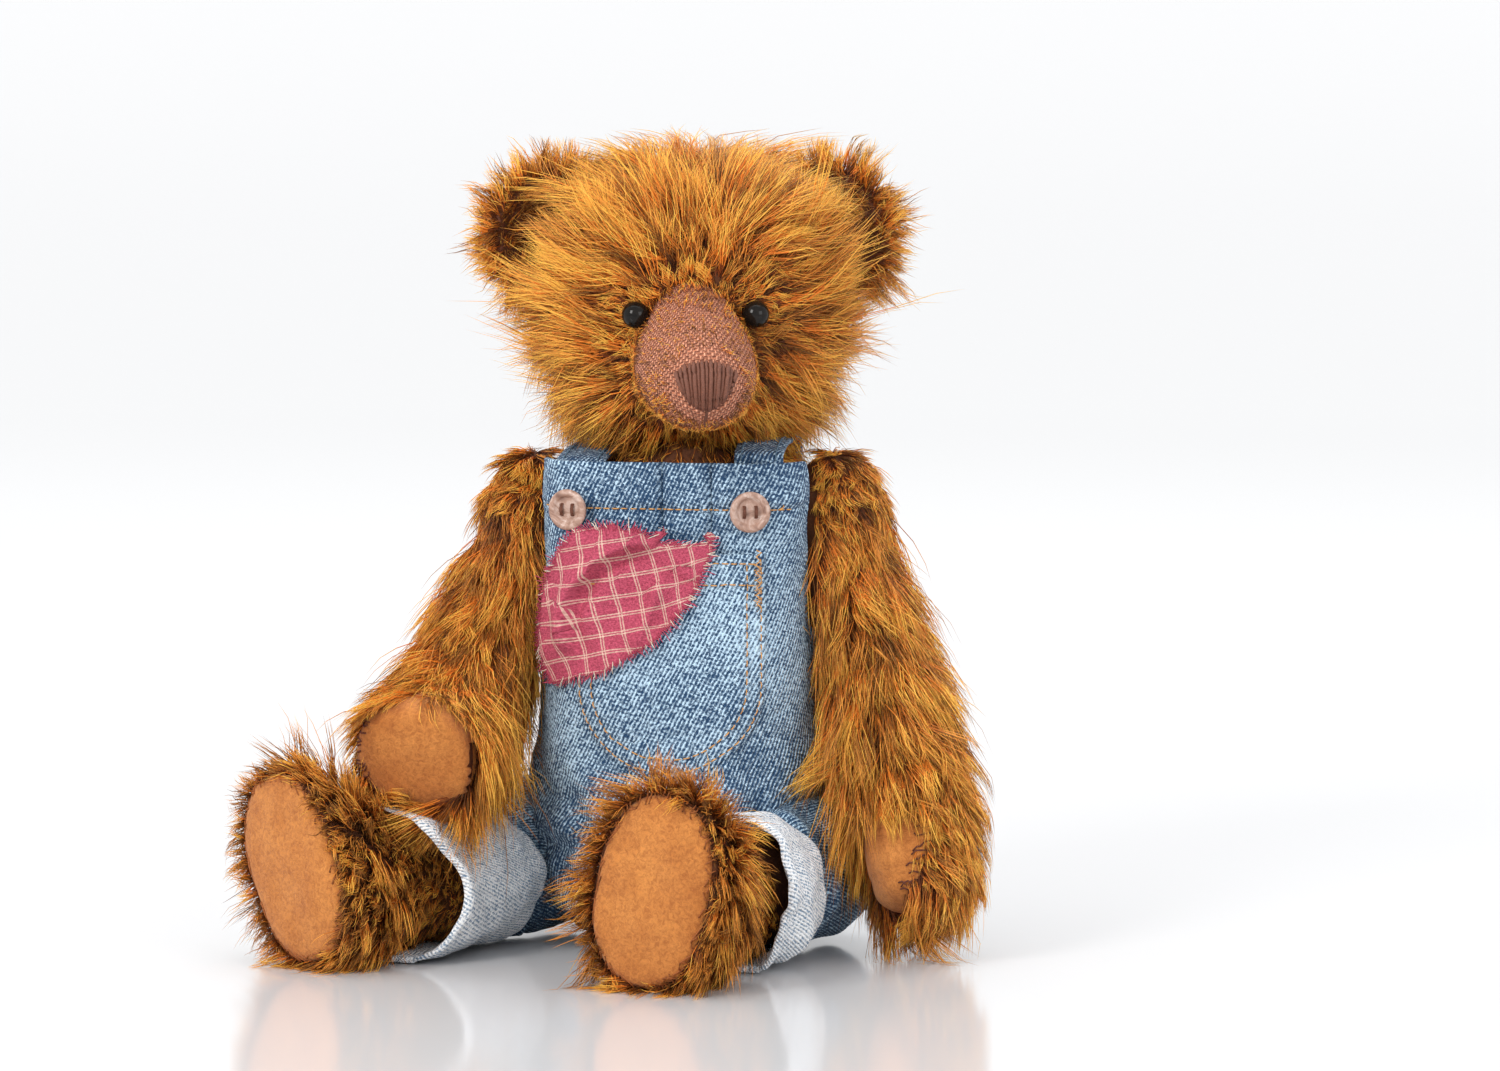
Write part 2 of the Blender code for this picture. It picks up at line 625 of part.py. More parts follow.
def leg(side):
    word = "left" if side > 0 else "right"
    joint = JOINTS[f"hip_{word}"]

    def rings_for(grow):
        return leg_rings(side, LEG, grow, joint)

    pieces = limb(joint, f"leg_{word}", rings_for)
    pieces.append(sole_pad(word, rings_for))
    thigh = [row for row in LEG if row[0] < TROUSER_END]
    clear = GAP * 2
    inner = leg_rings(side, thigh, clear, joint)
    outer = leg_rings(side, thigh, clear + DENIM, joint)
    last = thigh[-1]
    inner.append(leg_rings(side, [last, (last[0] + 9,) + last[1:]], clear, joint)[-1])
    pieces.append(trouser_shell(f"trouser_leg_{word}", outer, inner, joint, denim(), True))
    rows = [(along, CUFF_RISE, thick, high, 0) for along, thick, high in CUFF]
    cuff_outer = leg_rings(side, rows, 0, joint)
    longer = [(rows[0][0] - 6,) + rows[0][1:]] + rows + [(rows[-1][0] + 6,) + rows[-1][1:]]
    cuff_inner = leg_rings(side, longer, -DENIM, joint)
    pieces.append(trouser_shell(f"cuff_{word}", cuff_outer, cuff_inner, joint, denim_reverse(), False))
    return pieces


# ---- dungarees -------------------------------------------------------------------------
def dungarees_body():
    body = column("dungarees_body", DUNGAREES, look=denim())
    boolean(body, as_cutter(column("dungarees_hollow", DUNGAREES, grow=-DENIM)))
    for word in ("left", "right"):
        joint = JOINTS[f"hip_{word}"]
        boolean(body, torso_side_cutter(joint, 0, f"dungarees_leg_hole_{word}"))
    boolean(body, box("bib_top_cut", (-FAR, -FAR, BIB_TOP), (FAR, FAR, 2 * BIB_TOP)))
    boolean(body, box("back_top_cut", (-FAR, -BIB_BACK_EDGE, BACK_PANEL_TOP), (FAR, FAR, 2 * BIB_TOP)))
    boolean(body, box("armhole_cut", (-FAR, -BIB_BACK_EDGE, ARMHOLE_Z), (FAR, BACK_PANEL_Y, 2 * BIB_TOP)))
    return body


def on_bib(name, outline, near, far, look):
    """A cloth patch lying on the bib inside an outline of (x, z) points, in mm."""
    patch = column(name, DUNGAREES, grow=far, look=look)
    points = [Vector((x * MM, -15 * MM, z * MM)) for x, z in outline]
    boolean(patch, as_cutter(prism(f"{name}_outline", points, -Y, FAR)), "INTERSECT")
    boolean(patch, as_cutter(column(f"{name}_under", DUNGAREES, grow=near)))
    return patch


def pocket():
    """A U-shaped pocket: straight top, round bottom."""
    curve = []
    for i in range(POCKET_STEPS + 1):
        angle = math.pi * i / POCKET_STEPS
        drop = (POCKET_STRAIGHT - POCKET_BOTTOM) * math.sin(angle)
        curve.append((POCKET_HALF * math.cos(angle), POCKET_STRAIGHT - drop))
    outline = [(POCKET_HALF, POCKET_TOP)] + curve + [(-POCKET_HALF, POCKET_TOP)]
    return on_bib("bib_pocket", outline, GAP, GAP + DENIM, denim())


def handkerchief():
    """A torn square of checked cloth pushed into the pocket's top, hanging to the bear's right."""
    cloth = material("checked_cotton", (0.55, 0.10, 0.16), 0.9)
    near = 2 * GAP + DENIM
    return on_bib("handkerchief", HANDKERCHIEF, near, near + DENIM, cloth)


def button_frame(side):
    """Centre of a button's back face, with its outward, across and up directions."""
    lean = BUTTON_LEAN * side
    outward = Vector((math.sin(lean), -math.cos(lean), 0))
    across = Vector((math.cos(lean), math.sin(lean), 0))
    return Vector((side * BUTTON_X, BUTTON_BACK_Y, BUTTON_Z)), outward, across


def button(side):
    """A dished four-hole button."""
    word = "left" if side > 0 else "right"
    back, outward, across = button_frame(side)
    horn = material("horn_button", (0.35, 0.22, 0.16), 0.35)
    profile = [(0, BUTTON_R * 0.8), (BUTTON_T * 0.4, BUTTON_R), (BUTTON_T, BUTTON_R * 0.93),
               (BUTTON_T, BUTTON_R - BUTTON_RIM), (BUTTON_T - BUTTON_DISH, BUTTON_R - 2 * BUTTON_RIM)]
    disc = turned(f"button_{word}", back, outward, profile, SIDES_BODY, horn)
    for i, (a, b) in enumerate(((1, 1), (1, -1), (-1, 1), (-1, -1))):
        start = back + across * a * BUTTON_HOLE_X + Z * b * BUTTON_HOLE_X - outward * MM
        boolean(disc, as_cutter(cylinder(f"button_hole_{word}_{i}", start, outward, 5 * MM,
                                         BUTTON_HOLE_R, 8)))
    return disc


def button_thread(side):
    """Two upright stitches through the holes, joined behind the button."""
    word = "left" if side > 0 else "right"
    back, outward, across = button_frame(side)
    half = 0.5 * MM
    top = BUTTON_T - BUTTON_DISH + GAP
    leg_in, leg_out = BUTTON_HOLE_X - half, BUTTON_HOLE_X + half
    root = -2 * GAP
    staple = [(leg_out, root), (leg_out, top + 2 * half), (-leg_out, top + 2 * half), (-leg_out, root),
              (-leg_in, root), (-leg_in, top), (leg_in, top), (leg_in, root)]
    wide = BUTTON_HOLE_X + 2 * half
    base = [back - outward * 3 * GAP + across * a * wide + Z * b * wide
            for a, b in ((-1, -1), (1, -1), (1, 1), (-1, 1))]
    shank = prism(f"button_thread_{word}", base, outward, 2 * GAP, thread())
    for s in (1, -1):
        start = back + across * (s * BUTTON_HOLE_X - half)
        outline = [start + Z * z + outward * d for z, d in staple]
        stitch = as_cutter(prism(f"button_stitch_{word}_{s}", outline, across, 2 * half))
        boolean(shank, stitch, "UNION")
    return shank


def strap(side):
    """A denim strap from behind the bib, over the shoulder and down to the back panel."""
    word = "left" if side > 0 else "right"
    half, thin = STRAP_WIDTH / 2, DENIM / 2
    rings = []
    for i, (x, y, z) in enumerate(STRAP_ROUTE):
        before, after = STRAP_ROUTE[max(i - 1, 0)], STRAP_ROUTE[min(i + 1, len(STRAP_ROUTE) - 1)]
        tangent = Vector((0, after[1] - before[1], after[2] - before[2])).normalized()
        lift = X.cross(tangent)
        middle = Vector((side * x, y, z)) * MM
        rings.append([middle + X * a * half + lift * b * thin
                      for a, b in ((-1, -1), (1, -1), (1, 1), (-1, 1))])
    return skin_loft(rings, f"strap_{word}", denim(), smooth=False)


# ---- assembly --------------------------------------------------------------------------
HARDWARE = {}


def hang_on(pieces, name, pivot):
    """Parents a moving body's pieces to an empty on its joint."""
    handle = bpy.data.objects.new(name, None)
    bpy.context.scene.collection.objects.link(handle)
    handle.location = pivot
    for piece in pieces:
        piece.data.transform(Matrix.Translation(-pivot))
        piece.parent = handle


def main():
    for old in list(bpy.data.objects):
        bpy.data.objects.remove(old)
    torso()
    hang_on(head() + HARDWARE["neck"], "head_pivot", NECK)
    for side, word in ((1, "left"), (-1, "right")):
        shoulder, hip = JOINTS[f"shoulder_{word}"], JOINTS[f"hip_{word}"]
        hang_on(arm(side) + HARDWARE[shoulder.name], f"arm_{word}_pivot", shoulder.point)
        hang_on(leg(side) + HARDWARE[hip.name], f"leg_{word}_pivot", hip.point)
        button(side)
        button_thread(side)
        strap(side)
    dungarees_body()
    pocket()
    handkerchief()


main()
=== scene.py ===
"""Looks of the jointed teddy bear: mohair, woven muzzle, felt, denim dungarees, checked handkerchief."""
import json
import math

import bmesh
import bpy
import numpy as np
from mathutils import Matrix, Vector
from mathutils.bvhtree import BVHTree
from mathutils.kdtree import KDTree


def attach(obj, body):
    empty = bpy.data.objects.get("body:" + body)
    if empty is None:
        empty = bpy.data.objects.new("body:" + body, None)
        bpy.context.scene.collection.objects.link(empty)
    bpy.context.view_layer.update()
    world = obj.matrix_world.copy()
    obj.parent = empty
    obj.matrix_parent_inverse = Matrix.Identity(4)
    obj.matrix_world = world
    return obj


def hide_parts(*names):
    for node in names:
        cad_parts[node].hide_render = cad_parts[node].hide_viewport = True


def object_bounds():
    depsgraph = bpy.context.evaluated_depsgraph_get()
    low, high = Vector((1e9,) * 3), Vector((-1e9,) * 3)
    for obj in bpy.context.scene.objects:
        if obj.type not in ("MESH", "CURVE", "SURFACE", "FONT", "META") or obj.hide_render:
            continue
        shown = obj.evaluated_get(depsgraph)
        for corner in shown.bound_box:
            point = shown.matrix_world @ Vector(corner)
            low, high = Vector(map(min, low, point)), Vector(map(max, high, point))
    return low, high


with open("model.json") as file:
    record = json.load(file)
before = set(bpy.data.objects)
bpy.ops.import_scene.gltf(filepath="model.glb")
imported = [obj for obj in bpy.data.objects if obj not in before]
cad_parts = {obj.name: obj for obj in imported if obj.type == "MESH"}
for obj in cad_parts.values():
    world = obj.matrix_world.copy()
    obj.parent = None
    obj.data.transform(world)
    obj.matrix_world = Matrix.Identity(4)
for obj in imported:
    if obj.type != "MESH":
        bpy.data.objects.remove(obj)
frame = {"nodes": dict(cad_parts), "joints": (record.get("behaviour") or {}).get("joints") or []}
CAD_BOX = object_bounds()

MM = 0.001
SEED = 36
JOINT_PLACES = {joint["name"]: np.array(joint["pos_m"]) for joint in frame["joints"]}
NECK = JOINT_PLACES["neck_swivel"]
SIDE_WORDS = {1: "left", -1: "right"}
BEAR_SIDES = tuple(SIDE_WORDS.items())
UP = np.array([0, 0, 1.0])

# ---- outlines around the CAD's solids, in mm ---------------------------------------------
# columns: (z, half width, half depth, squareness)
TORSO = [(1.9, 20, 18, 2), (7, 31, 29, 2), (20, 38, 36, 2), (45, 40.5, 40, 2), (75, 37, 37.5, 2),
         (104, 36.5, 32, 2.2), (126, 36, 26, 2.4), (138, 33, 20.5, 2.4), (144, 21, 17, 2.2),
         (147.5, 15.5, 14.5, 2)]
DUNGAREES = [(0.4, 23, 21, 2), (5, 33, 31, 2), (18, 42, 39.5, 2), (45, 44.5, 43, 2), (75, 41, 40.5, 2.4),
             (104, 38.8, 36, 3.2), (126, 38.3, 34, 4.4), (146, 38.3, 33, 5)]
HEAD = [(148.6, 15, 14.5, 2), (153, 25, 24, 2), (163, 33.5, 32, 2), (180, 38.5, 36.5, 2.1),
        (196, 39.5, 37.5, 2.2), (208.5, 37.5, 35.5, 2.3), (216.5, 31, 29, 2.2), (221, 20, 19, 2)]
# muzzle: (forward of the neck axis, height of centre, half width, half height)
MUZZLE = [(24, 176, 13.5, 20), (34, 175.2, 16, 19.8), (43, 172.8, 17.2, 18.6), (52, 170, 15.9, 16.4),
          (59.5, 168.2, 12.6, 13), (64.5, 167.6, 8.6, 8.8)]
# arms: (out, forward, up from the shoulder, half thickness, half breadth)
ARMS = {
    1: [(9.5, 0, 12, 9, 9), (9.5, 0, 4, 13, 14), (10.5, 1, -9, 13, 14.3), (16.5, 4, -27, 12.5, 14.5),
        (25.5, 13, -51, 12.5, 14.5), (33.5, 24, -75, 13, 14.5), (38.5, 33, -96, 13.5, 15),
        (39.3, 36, -103, 12, 13)],
    -1: [(9.5, 0, 11, 9, 9), (9.5, 0, 4, 13, 14), (10.5, 1, -9, 13, 14.3), (17.5, 5, -26, 12.5, 14.5),
         (26, 16, -46, 13, 14.5), (32, 33, -59, 14.5, 15), (34.5, 49, -65, 16, 16.5),
         (35.3, 55, -67.2, 16, 15.8)],
}
# legs: (along, rise of centre, half thickness, half height, lean)
LEG = [(-17, 0, 10.5, 13, 0), (-8, 0, 13, 18.5, 0), (8, 0, 13.3, 19.3, 0), (26, -1.5, 13.3, 17.6, 0),
       (45, -4, 12.5, 15, 0), (68, -4.5, 13.5, 15.5, 0.3), (84, 1, 16.5, 22, 0.8), (94, 4, 18, 26.6, 1),
       (103, 5.2, 18.5, 27.6, 1)]
KNEE = 45                                  # how far along the leg its bend ends, mm
LEG_OFFSET = 9.5                           # how far the leg's middle is out from the hip joint, mm
LIMB_SQUARENESS = 2.3
MUZZLE_SQUARENESS = 2.15
# the splays turn the leg's hip end and the rest of it about the vertical, TOE_OUT rolls the foot
HIP_SPLAY = {1: math.radians(-12), -1: math.radians(18)}
LEG_SPLAY = {1: math.radians(-18), -1: math.radians(37)}
TOE_OUT = {1: math.radians(13), -1: math.radians(25)}
HEAD_YAW = math.radians(12)
EYE_R, EYE_HALF_SPACING, EYE_Z, EYE_FORWARD = 3.9, 17.2, 184.8, 37.4
FACE_SWAY = 3.0                            # how far the muzzle's base sits to the bear's right, mm
MUZZLE_PINCH = 0.24                        # how much narrower the muzzle is at its bridge


# ---- vectors ------------------------------------------------------------------------------
def unit(v):
    """Unit vectors along the last axis."""
    v = np.asarray(v, float)
    return v / np.maximum(np.linalg.norm(v, axis=-1, keepdims=True), 1e-9)


def turn_z(v, angle):
    """Vectors turned about the vertical."""
    c, s = math.cos(angle), math.sin(angle)
    v = np.asarray(v, float)
    return np.stack([c * v[..., 0] - s * v[..., 1], s * v[..., 0] + c * v[..., 1], v[..., 2]], -1)


def smoothstep(x, low=0.0, high=1.0):
    """A smooth step from 0 at low to 1 at high."""
    t = np.clip((np.asarray(x, float) - low) / (high - low), 0, 1)
    return t * t * (3 - 2 * t)


def through(rows, per_span):
    """Catmull-Rom curve through rows of numbers."""
    rows = np.asarray(rows, float)
    padded = np.vstack([2 * rows[0] - rows[1], rows, 2 * rows[-1] - rows[-2]])
    made = []
    for i in range(1, len(padded) - 2):
        a, b, c, d = padded[i - 1:i + 3]
        for t in np.arange(per_span) / per_span:
            made.append(0.5 * (2 * b + (c - a) * t + (2 * a - 5 * b + 4 * c - d) * t * t
                               + (3 * b - a - 3 * c + d) * t ** 3))
    made.append(rows[-1])
    return np.array(made)


def run_length(path):
    """How far along a path each of its points is."""
    return np.concatenate([[0], np.cumsum(np.linalg.norm(np.diff(path, axis=0), axis=1))])


def along_skin(flow, normals):
    """Unit directions with the part that leaves the skin taken away."""
    return unit(flow - normals * (flow * normals).sum(1, keepdims=True))


def upright(x, z):
    """Places in metres on the upright plane through the middle, from mm."""
    return np.stack([x, np.zeros_like(x), z], -1) * MM


# ---- surfaces -----------------------------------------------------------------------------
class Surface:
    """A grid of points: closed rings along a body, or the open rows of a sheet. Everything is in metres."""

    def __init__(self, points, closed=True):
        self.points = np.asarray(points, float)
        self.closed = closed

    def tangents(self):
        """Differences along the body and around it."""
        along = np.gradient(self.points, axis=0)
        if self.closed:
            around = np.roll(self.points, -1, 1) - np.roll(self.points, 1, 1)
        else:
            around = np.gradient(self.points, axis=1)
        return along, around

    def normals(self):
        along, around = self.tangents()
        return unit(np.cross(around, along))

    def grown(self, distance):
        """The surface moved out by a distance, one number or one for each point."""
        distance = np.asarray(distance, float)
        if distance.ndim:
            distance = distance[..., None]
        return Surface(self.points + self.normals() * distance, self.closed)

    def faces(self):
        rings, count = self.points.shape[:2]
        wrap = count if self.closed else count - 1
        i, j = np.meshgrid(np.arange(rings - 1), np.arange(wrap), indexing="ij")
        k = (j + 1) % count
        low, high = i * count, (i + 1) * count
        return np.stack([low + j, low + k, high + k, high + j], -1).reshape(-1, 4)

    def cloth_map(self):
        """Distances around and along in metres, for weaves that follow the cloth."""
        along = np.linalg.norm(np.diff(self.points, axis=0), axis=2).mean(1)
        v = np.concatenate([[0], np.cumsum(along)])
        step = np.linalg.norm(np.diff(self.points, axis=1), axis=2)
        u = np.concatenate([[0], np.cumsum(step.max(0))])
        return np.stack(np.broadcast_arrays(u[None, :], v[:, None]), -1)

    def tree(self):
        vertices = [Vector(p) for p in self.points.reshape(-1, 3)]
        return BVHTree.FromPolygons(vertices, self.faces().tolist())


def mesh_from(name, vertices, faces):
    """A new piece with smooth shading."""
    mesh = bpy.data.meshes.new(name)
    mesh.from_pydata(np.asarray(vertices).tolist(), [], [list(map(int, f)) for f in faces])
    mesh.validate()
    mesh.shade_smooth()
    made = bpy.data.objects.new(name, mesh)
    bpy.context.scene.collection.objects.link(made)
    return made


def corner_vertices(made):
    """The number of the vertex at each face corner."""
    numbers = np.zeros(len(made.data.loops), int)
    made.data.loops.foreach_get("vertex_index", numbers)
    return numbers


def lay_cloth_map(made, corner_uv):
    """Gives each face corner its place on the cloth map, in metres."""
    made.data.uv_layers["cloth"].data.foreach_set("uv", corner_uv.ravel().astype(np.float32))


def surface_object(name, surface, look):
    """A mesh of a surface with a cloth map, for sheets and skins."""
    count = surface.points.shape[1]
    faces = surface.faces()
    made = mesh_from(name, surface.points.reshape(-1, 3), faces)
    flat = surface.cloth_map()
    made.data.uv_layers.new(name="cloth")
    corner_vertex = corner_vertices(made)
    corner_uv = flat.reshape(-1, 2)[corner_vertex]
    if surface.closed:
        step = flat[0, -1, 0] / max(count - 1, 1)
        face_of_corner = np.arange(len(corner_vertex)) // 4
        last = (faces[face_of_corner, 0] % count) == count - 1
        first = corner_vertex % count == 0
        corner_uv[last & first, 0] = flat[0, -1, 0] + step
    lay_cloth_map(made, corner_uv)
    made.data.materials.append(look)
    return made


def superellipse(half_a, half_b, power, sides):
    """Places round an outline that is an ellipse at power 2 and squarer above it."""
    angle = 2 * math.pi * np.arange(sides) / sides
    c, s = np.cos(angle), np.sin(angle)
    return np.sign(c) * np.abs(c) ** (2 / power) * half_a, np.sign(s) * np.abs(s) ** (2 / power) * half_b


def ring(centre, across, up, half_a, half_b, power, sides):
    """A closed ring of points about a centre."""
    a, b = superellipse(half_a, half_b, power, sides)
    return centre + across * a[:, None] + up * b[:, None]


def capped(rings, middles, low_cap, high_cap, steps=6):
    """Adds rounded ends to a stack of rings."""
    rings, middles = list(rings), list(middles)

    def cap(last, middle, toward, depth):
        made = []
        for k in range(1, steps + 1):
            angle = 0.5 * math.pi * k / steps
            shrink = max(math.cos(angle), 0.004)
            made.append(middle + toward * depth * math.sin(angle) + (last - middle) * shrink)
        return made

    low = cap(rings[0], middles[0], unit(middles[0] - middles[1]), low_cap) if low_cap else []
    high = cap(rings[-1], middles[-1], unit(middles[-1] - middles[-2]), high_cap) if high_cap else []
    return np.array(low[::-1] + rings + high)


def column(rows, centre=(0, 0), yaw=0.0, sides=96, per_span=6, low_cap=0.0, high_cap=0.0):
    """An upright body through (z, half width, half depth, squareness) rows."""
    across, deep = turn_z([1, 0, 0], yaw), turn_z([0, 1, 0], yaw)
    rings, middles = [], []
    for z, wide, thick, power in through(rows, per_span):
        middle = np.array([centre[0], centre[1], z * MM])
        rings.append(ring(middle, across, deep, wide * MM, thick * MM, power, sides))
        middles.append(middle)
    return Surface(capped(rings, middles, low_cap, high_cap))


def head_point(sideways, forward, z):
    """A place on the turned head, from mm to the bear's left, forward of the neck and above the floor."""
    return np.array([NECK[0], NECK[1], 0]) + turn_z([sideways * MM, -forward * MM, z * MM], HEAD_YAW)


def head_direction(sideways, forward, up):
    """A unit direction in the turned head's own axes."""
    return unit(turn_z([sideways, -forward, up], HEAD_YAW))


def muzzle_sway(forward):
    """How far sideways the muzzle's middle is, in mm: its base sits to one side of its tip."""
    return -FACE_SWAY * np.clip((MUZZLE[-1][0] - forward) / (MUZZLE[-1][0] - MUZZLE[0][0]), 0, 1)


def muzzle_narrowing(level):
    """The muzzle's width as a share, from its middle height (0) up to its bridge (1)."""
    return 1 - MUZZLE_PINCH * smoothstep(level, -0.35, 1.0)


def muzzle_surface(grow=0.0):
    """The muzzle, grown by some mm."""
    across = head_direction(1, 0, 0)
    rings, middles = [], []
    for forward, z, wide, high in through(MUZZLE, 6):
        middle = head_point(muzzle_sway(forward), forward, z)
        outline = ring(middle, -across, UP, (wide + grow) * MM, (high + grow) * MM, MUZZLE_SQUARENESS, 72)
        sideways = (outline - middle) @ across
        level = (outline[:, 2] - middle[2]) / (high * MM)
        rings.append(outline + across * (sideways * (muzzle_narrowing(level) - 1))[:, None])
        middles.append(middle)
    return facing_out(Surface(capped(rings, middles, 0, (2.4 + grow) * MM, 8)))


def arm_frames(side):
    """Centres, across and up axes and half sizes down an arm."""
    shoulder = JOINT_PLACES[f"shoulder_{SIDE_WORDS[side]}"]
    rows = through(ARMS[side], 6)
    centres = shoulder + np.stack([side * rows[:, 0], -rows[:, 1], rows[:, 2]], -1) * MM
    tangent = unit(np.gradient(centres, axis=0))
    out = unit(np.array([side, 0, 0]) - tangent * (tangent[:, :1] * side))
    return centres, out, np.cross(tangent, out), rows[:, 3:] * MM


def arm_surface(side):
    rows = arm_frames(side)
    rings = [ring(centre, out, up, thick, broad, LIMB_SQUARENESS, 64)
             for centre, out, up, (thick, broad) in zip(*rows)]
    centres = rows[0]
    return Surface(capped(rings, centres, 6 * MM, 6 * MM if side > 0 else 3 * MM))


def leg_frames(side, rows, per_span=6):
    """From hip to sole: centre, outward and up axes, half thickness, half height, the way ahead."""
    hip = JOINT_PLACES[f"hip_{SIDE_WORDS[side]}"]
    rows = through(rows, per_span)
    outward_hip = np.array([side * math.cos(HIP_SPLAY[side]), math.sin(HIP_SPLAY[side]), 0])
    start = hip + outward_hip * LEG_OFFSET * MM
    made = []
    for along, rise, thick, high, lean in rows:
        turned = HIP_SPLAY[side] + (LEG_SPLAY[side] - HIP_SPLAY[side]) * min(max(along / KNEE, 0), 1)
        route = LEG_SPLAY[side] if along > 0 else HIP_SPLAY[side]
        ahead = np.array([side * math.sin(route), -math.cos(route), 0])
        square = np.array([side * math.sin(turned), -math.cos(turned), 0])
        outward = np.array([side * math.cos(turned), math.sin(turned), 0])
        tilt = Matrix.Rotation(-side * lean * TOE_OUT[side], 3, Vector(square))
        middle = start + ahead * along * MM + np.array([0, 0, rise * MM])
        made.append((middle, np.array(tilt @ Vector(outward)), np.array(tilt @ Vector((0, 0, 1))),
                     thick * MM, high * MM, square))
    return made


def leg_surface(side, rows=LEG, grow=0.0, caps=True, sides=72):
    frames = leg_frames(side, rows)
    rings = [ring(middle, outward, up, thick + grow, high + grow, LIMB_SQUARENESS, sides)
             for middle, outward, up, thick, high, _ in frames]
    middles = [row[0] for row in frames]
    return Surface(capped(rings, middles, 6 * MM if caps else 0, 2 * MM if caps else 0))


def facing_out(surface):
    """The same grid, its rings reversed if its normals point inwards."""
    middle = surface.points.mean((0, 1))
    outward = ((surface.points - middle) * surface.normals()).sum(-1).mean()
    return surface if outward > 0 else Surface(surface.points[:, ::-1], surface.closed)


def sample(surface, count, rng):
    """Random roots spread evenly by area: points, normals and unit directions along the surface."""
    p = surface.points
    a, b = p[:-1], p[1:]
    c, d = np.roll(b, -1, 1), np.roll(a, -1, 1)
    area = 0.5 * np.linalg.norm(np.cross(c - a, d - b), axis=2)
    cell = rng.choice(area.size, count, p=(area / area.sum()).ravel())
    i, j = np.unravel_index(cell, area.shape)
    s, t = rng.random(count)[:, None], rng.random(count)[:, None]

    def mix(grid):
        k = (j + 1) % grid.shape[1]
        low = grid[i, j] * (1 - t) + grid[i, k] * t
        high = grid[i + 1, j] * (1 - t) + grid[i + 1, k] * t
        return low * (1 - s) + high * s

    along, _ = surface.tangents()
    return mix(p), unit(mix(surface.normals())), unit(mix(along))


# ---- mohair pile --------------------------------------------------------------------------
PILE_ROOT = (0.165, 0.036, 0.007)
PILE_MIDDLE = (0.560, 0.158, 0.015)
PILE_TIP = (0.840, 0.330, 0.048)
PILE_SHADES = (0.24, 0.60, 1.06, 1.62)      # from dark locks to sun-bleached ones
STRAND_R = 0.115 * MM                      # a strand's radius at its root
STRAND_RINGS = (0.0, 0.22, 0.48, 0.76)     # where a strand's rings are, before its point
RING_WIDTH = (1.0, 0.95, 0.82, 0.55)       # how wide it is at each
RING_PART = (0, 1, 2, 2)                   # the colour of each stretch: root, middle, tip
PIECE_STRANDS = 9000                       # most strands in one mesh piece
LOCK_STRANDS = 15                          # strands in a lock, on average
LOCK_GATHER, LOCK_SCATTER, LOCK_SWIRL = 0.74, 0.34, 0.40
STRAY_SHARE, STRAY_RISE, STRAY_GATHER = 0.10, 0.35, 0.15    # strands that stand out of their lock
GUARD_SHARE = 0.46                         # long bright hairs; the rest is short dark underfur
GUARD_LENGTH, GUARD_WIDTH, GUARD_SHADE = 1.16, 1.3, 0.85
UNDER_LENGTH, UNDER_WIDTH, UNDER_SHADE = 0.66, 0.9, -0.95
FLOOR_CLEAR = 0.3 * MM
# past this distance outside the CAD's box, hairs bend back by a share
HAIR_FREE, HAIR_BEND = np.array([6, 6, 8]) * MM, 0.7
# strands grown on each part before the bare places are left out
HEAD_STRANDS, EAR_STRANDS, MUZZLE_STRANDS, TORSO_STRANDS = 84000, 11000, 12000, 22000
ARM_STRANDS, LEG_STRANDS = 44000, 38000


def plain_fibre(name, colour):
    """One fibre colour, all its values on the shader's own sockets."""
    made = bpy.data.materials.new(name)
    made.use_nodes = True
    shader = made.node_tree.nodes["Principled BSDF"]
    shader.inputs["Base Color"].default_value = (*colour, 1)
    shader.inputs["Roughness"].default_value = 0.5
    shader.inputs["Specular IOR Level"].default_value = 0.35
    shader.inputs["Sheen Weight"].default_value = 0.06
    shader.inputs["Sheen Roughness"].default_value = 0.4
    shader.inputs["Sheen Tint"].default_value = (1.0, 0.72, 0.35, 1)
    return made


def pile_looks():
    """A fibre material for a strand's root, middle and tip in each shade."""
    looks = []
    for part, colour in (("root", PILE_ROOT), ("middle", PILE_MIDDLE), ("tip", PILE_TIP)):
        for k, shade in enumerate(PILE_SHADES):
            tone = tuple(min(channel * shade, 1) for channel in colour)
            looks.append(plain_fibre(f"mohair_{part}_{k}", tone))
    return looks


PILE_LOOKS = pile_looks()


def strand_curves(roots, first, last, length, times):
    """Points of strands that leave along one direction and end along another: (strand, time, xyz)."""
    t = np.asarray(times)[None, :, None]
    reach = length[:, None, None]
    return roots[:, None] + reach * (first[:, None] * (t - t * t / 2) + last[:, None] * (t * t / 2))


def in_bounds(points):
    """Bends the longest hairs back towards the body's box and keeps them off the floor."""
    low, high = (np.array(corner) + sign * HAIR_FREE for corner, sign in zip(CAD_BOX, (-1, 1)))
    points = points - np.maximum(points - high, 0) * HAIR_BEND + np.maximum(low - points, 0) * HAIR_BEND
    points[..., 2] = np.maximum(points[..., 2], FLOOR_CLEAR)
    return points


def nearest(places, points):
    """The number of the place nearest to each point."""
    tree = KDTree(len(places))
    for k, place in enumerate(places):
        tree.insert(Vector(place), k)
    tree.balance()
    return np.array([tree.find(Vector(p))[1] for p in points])


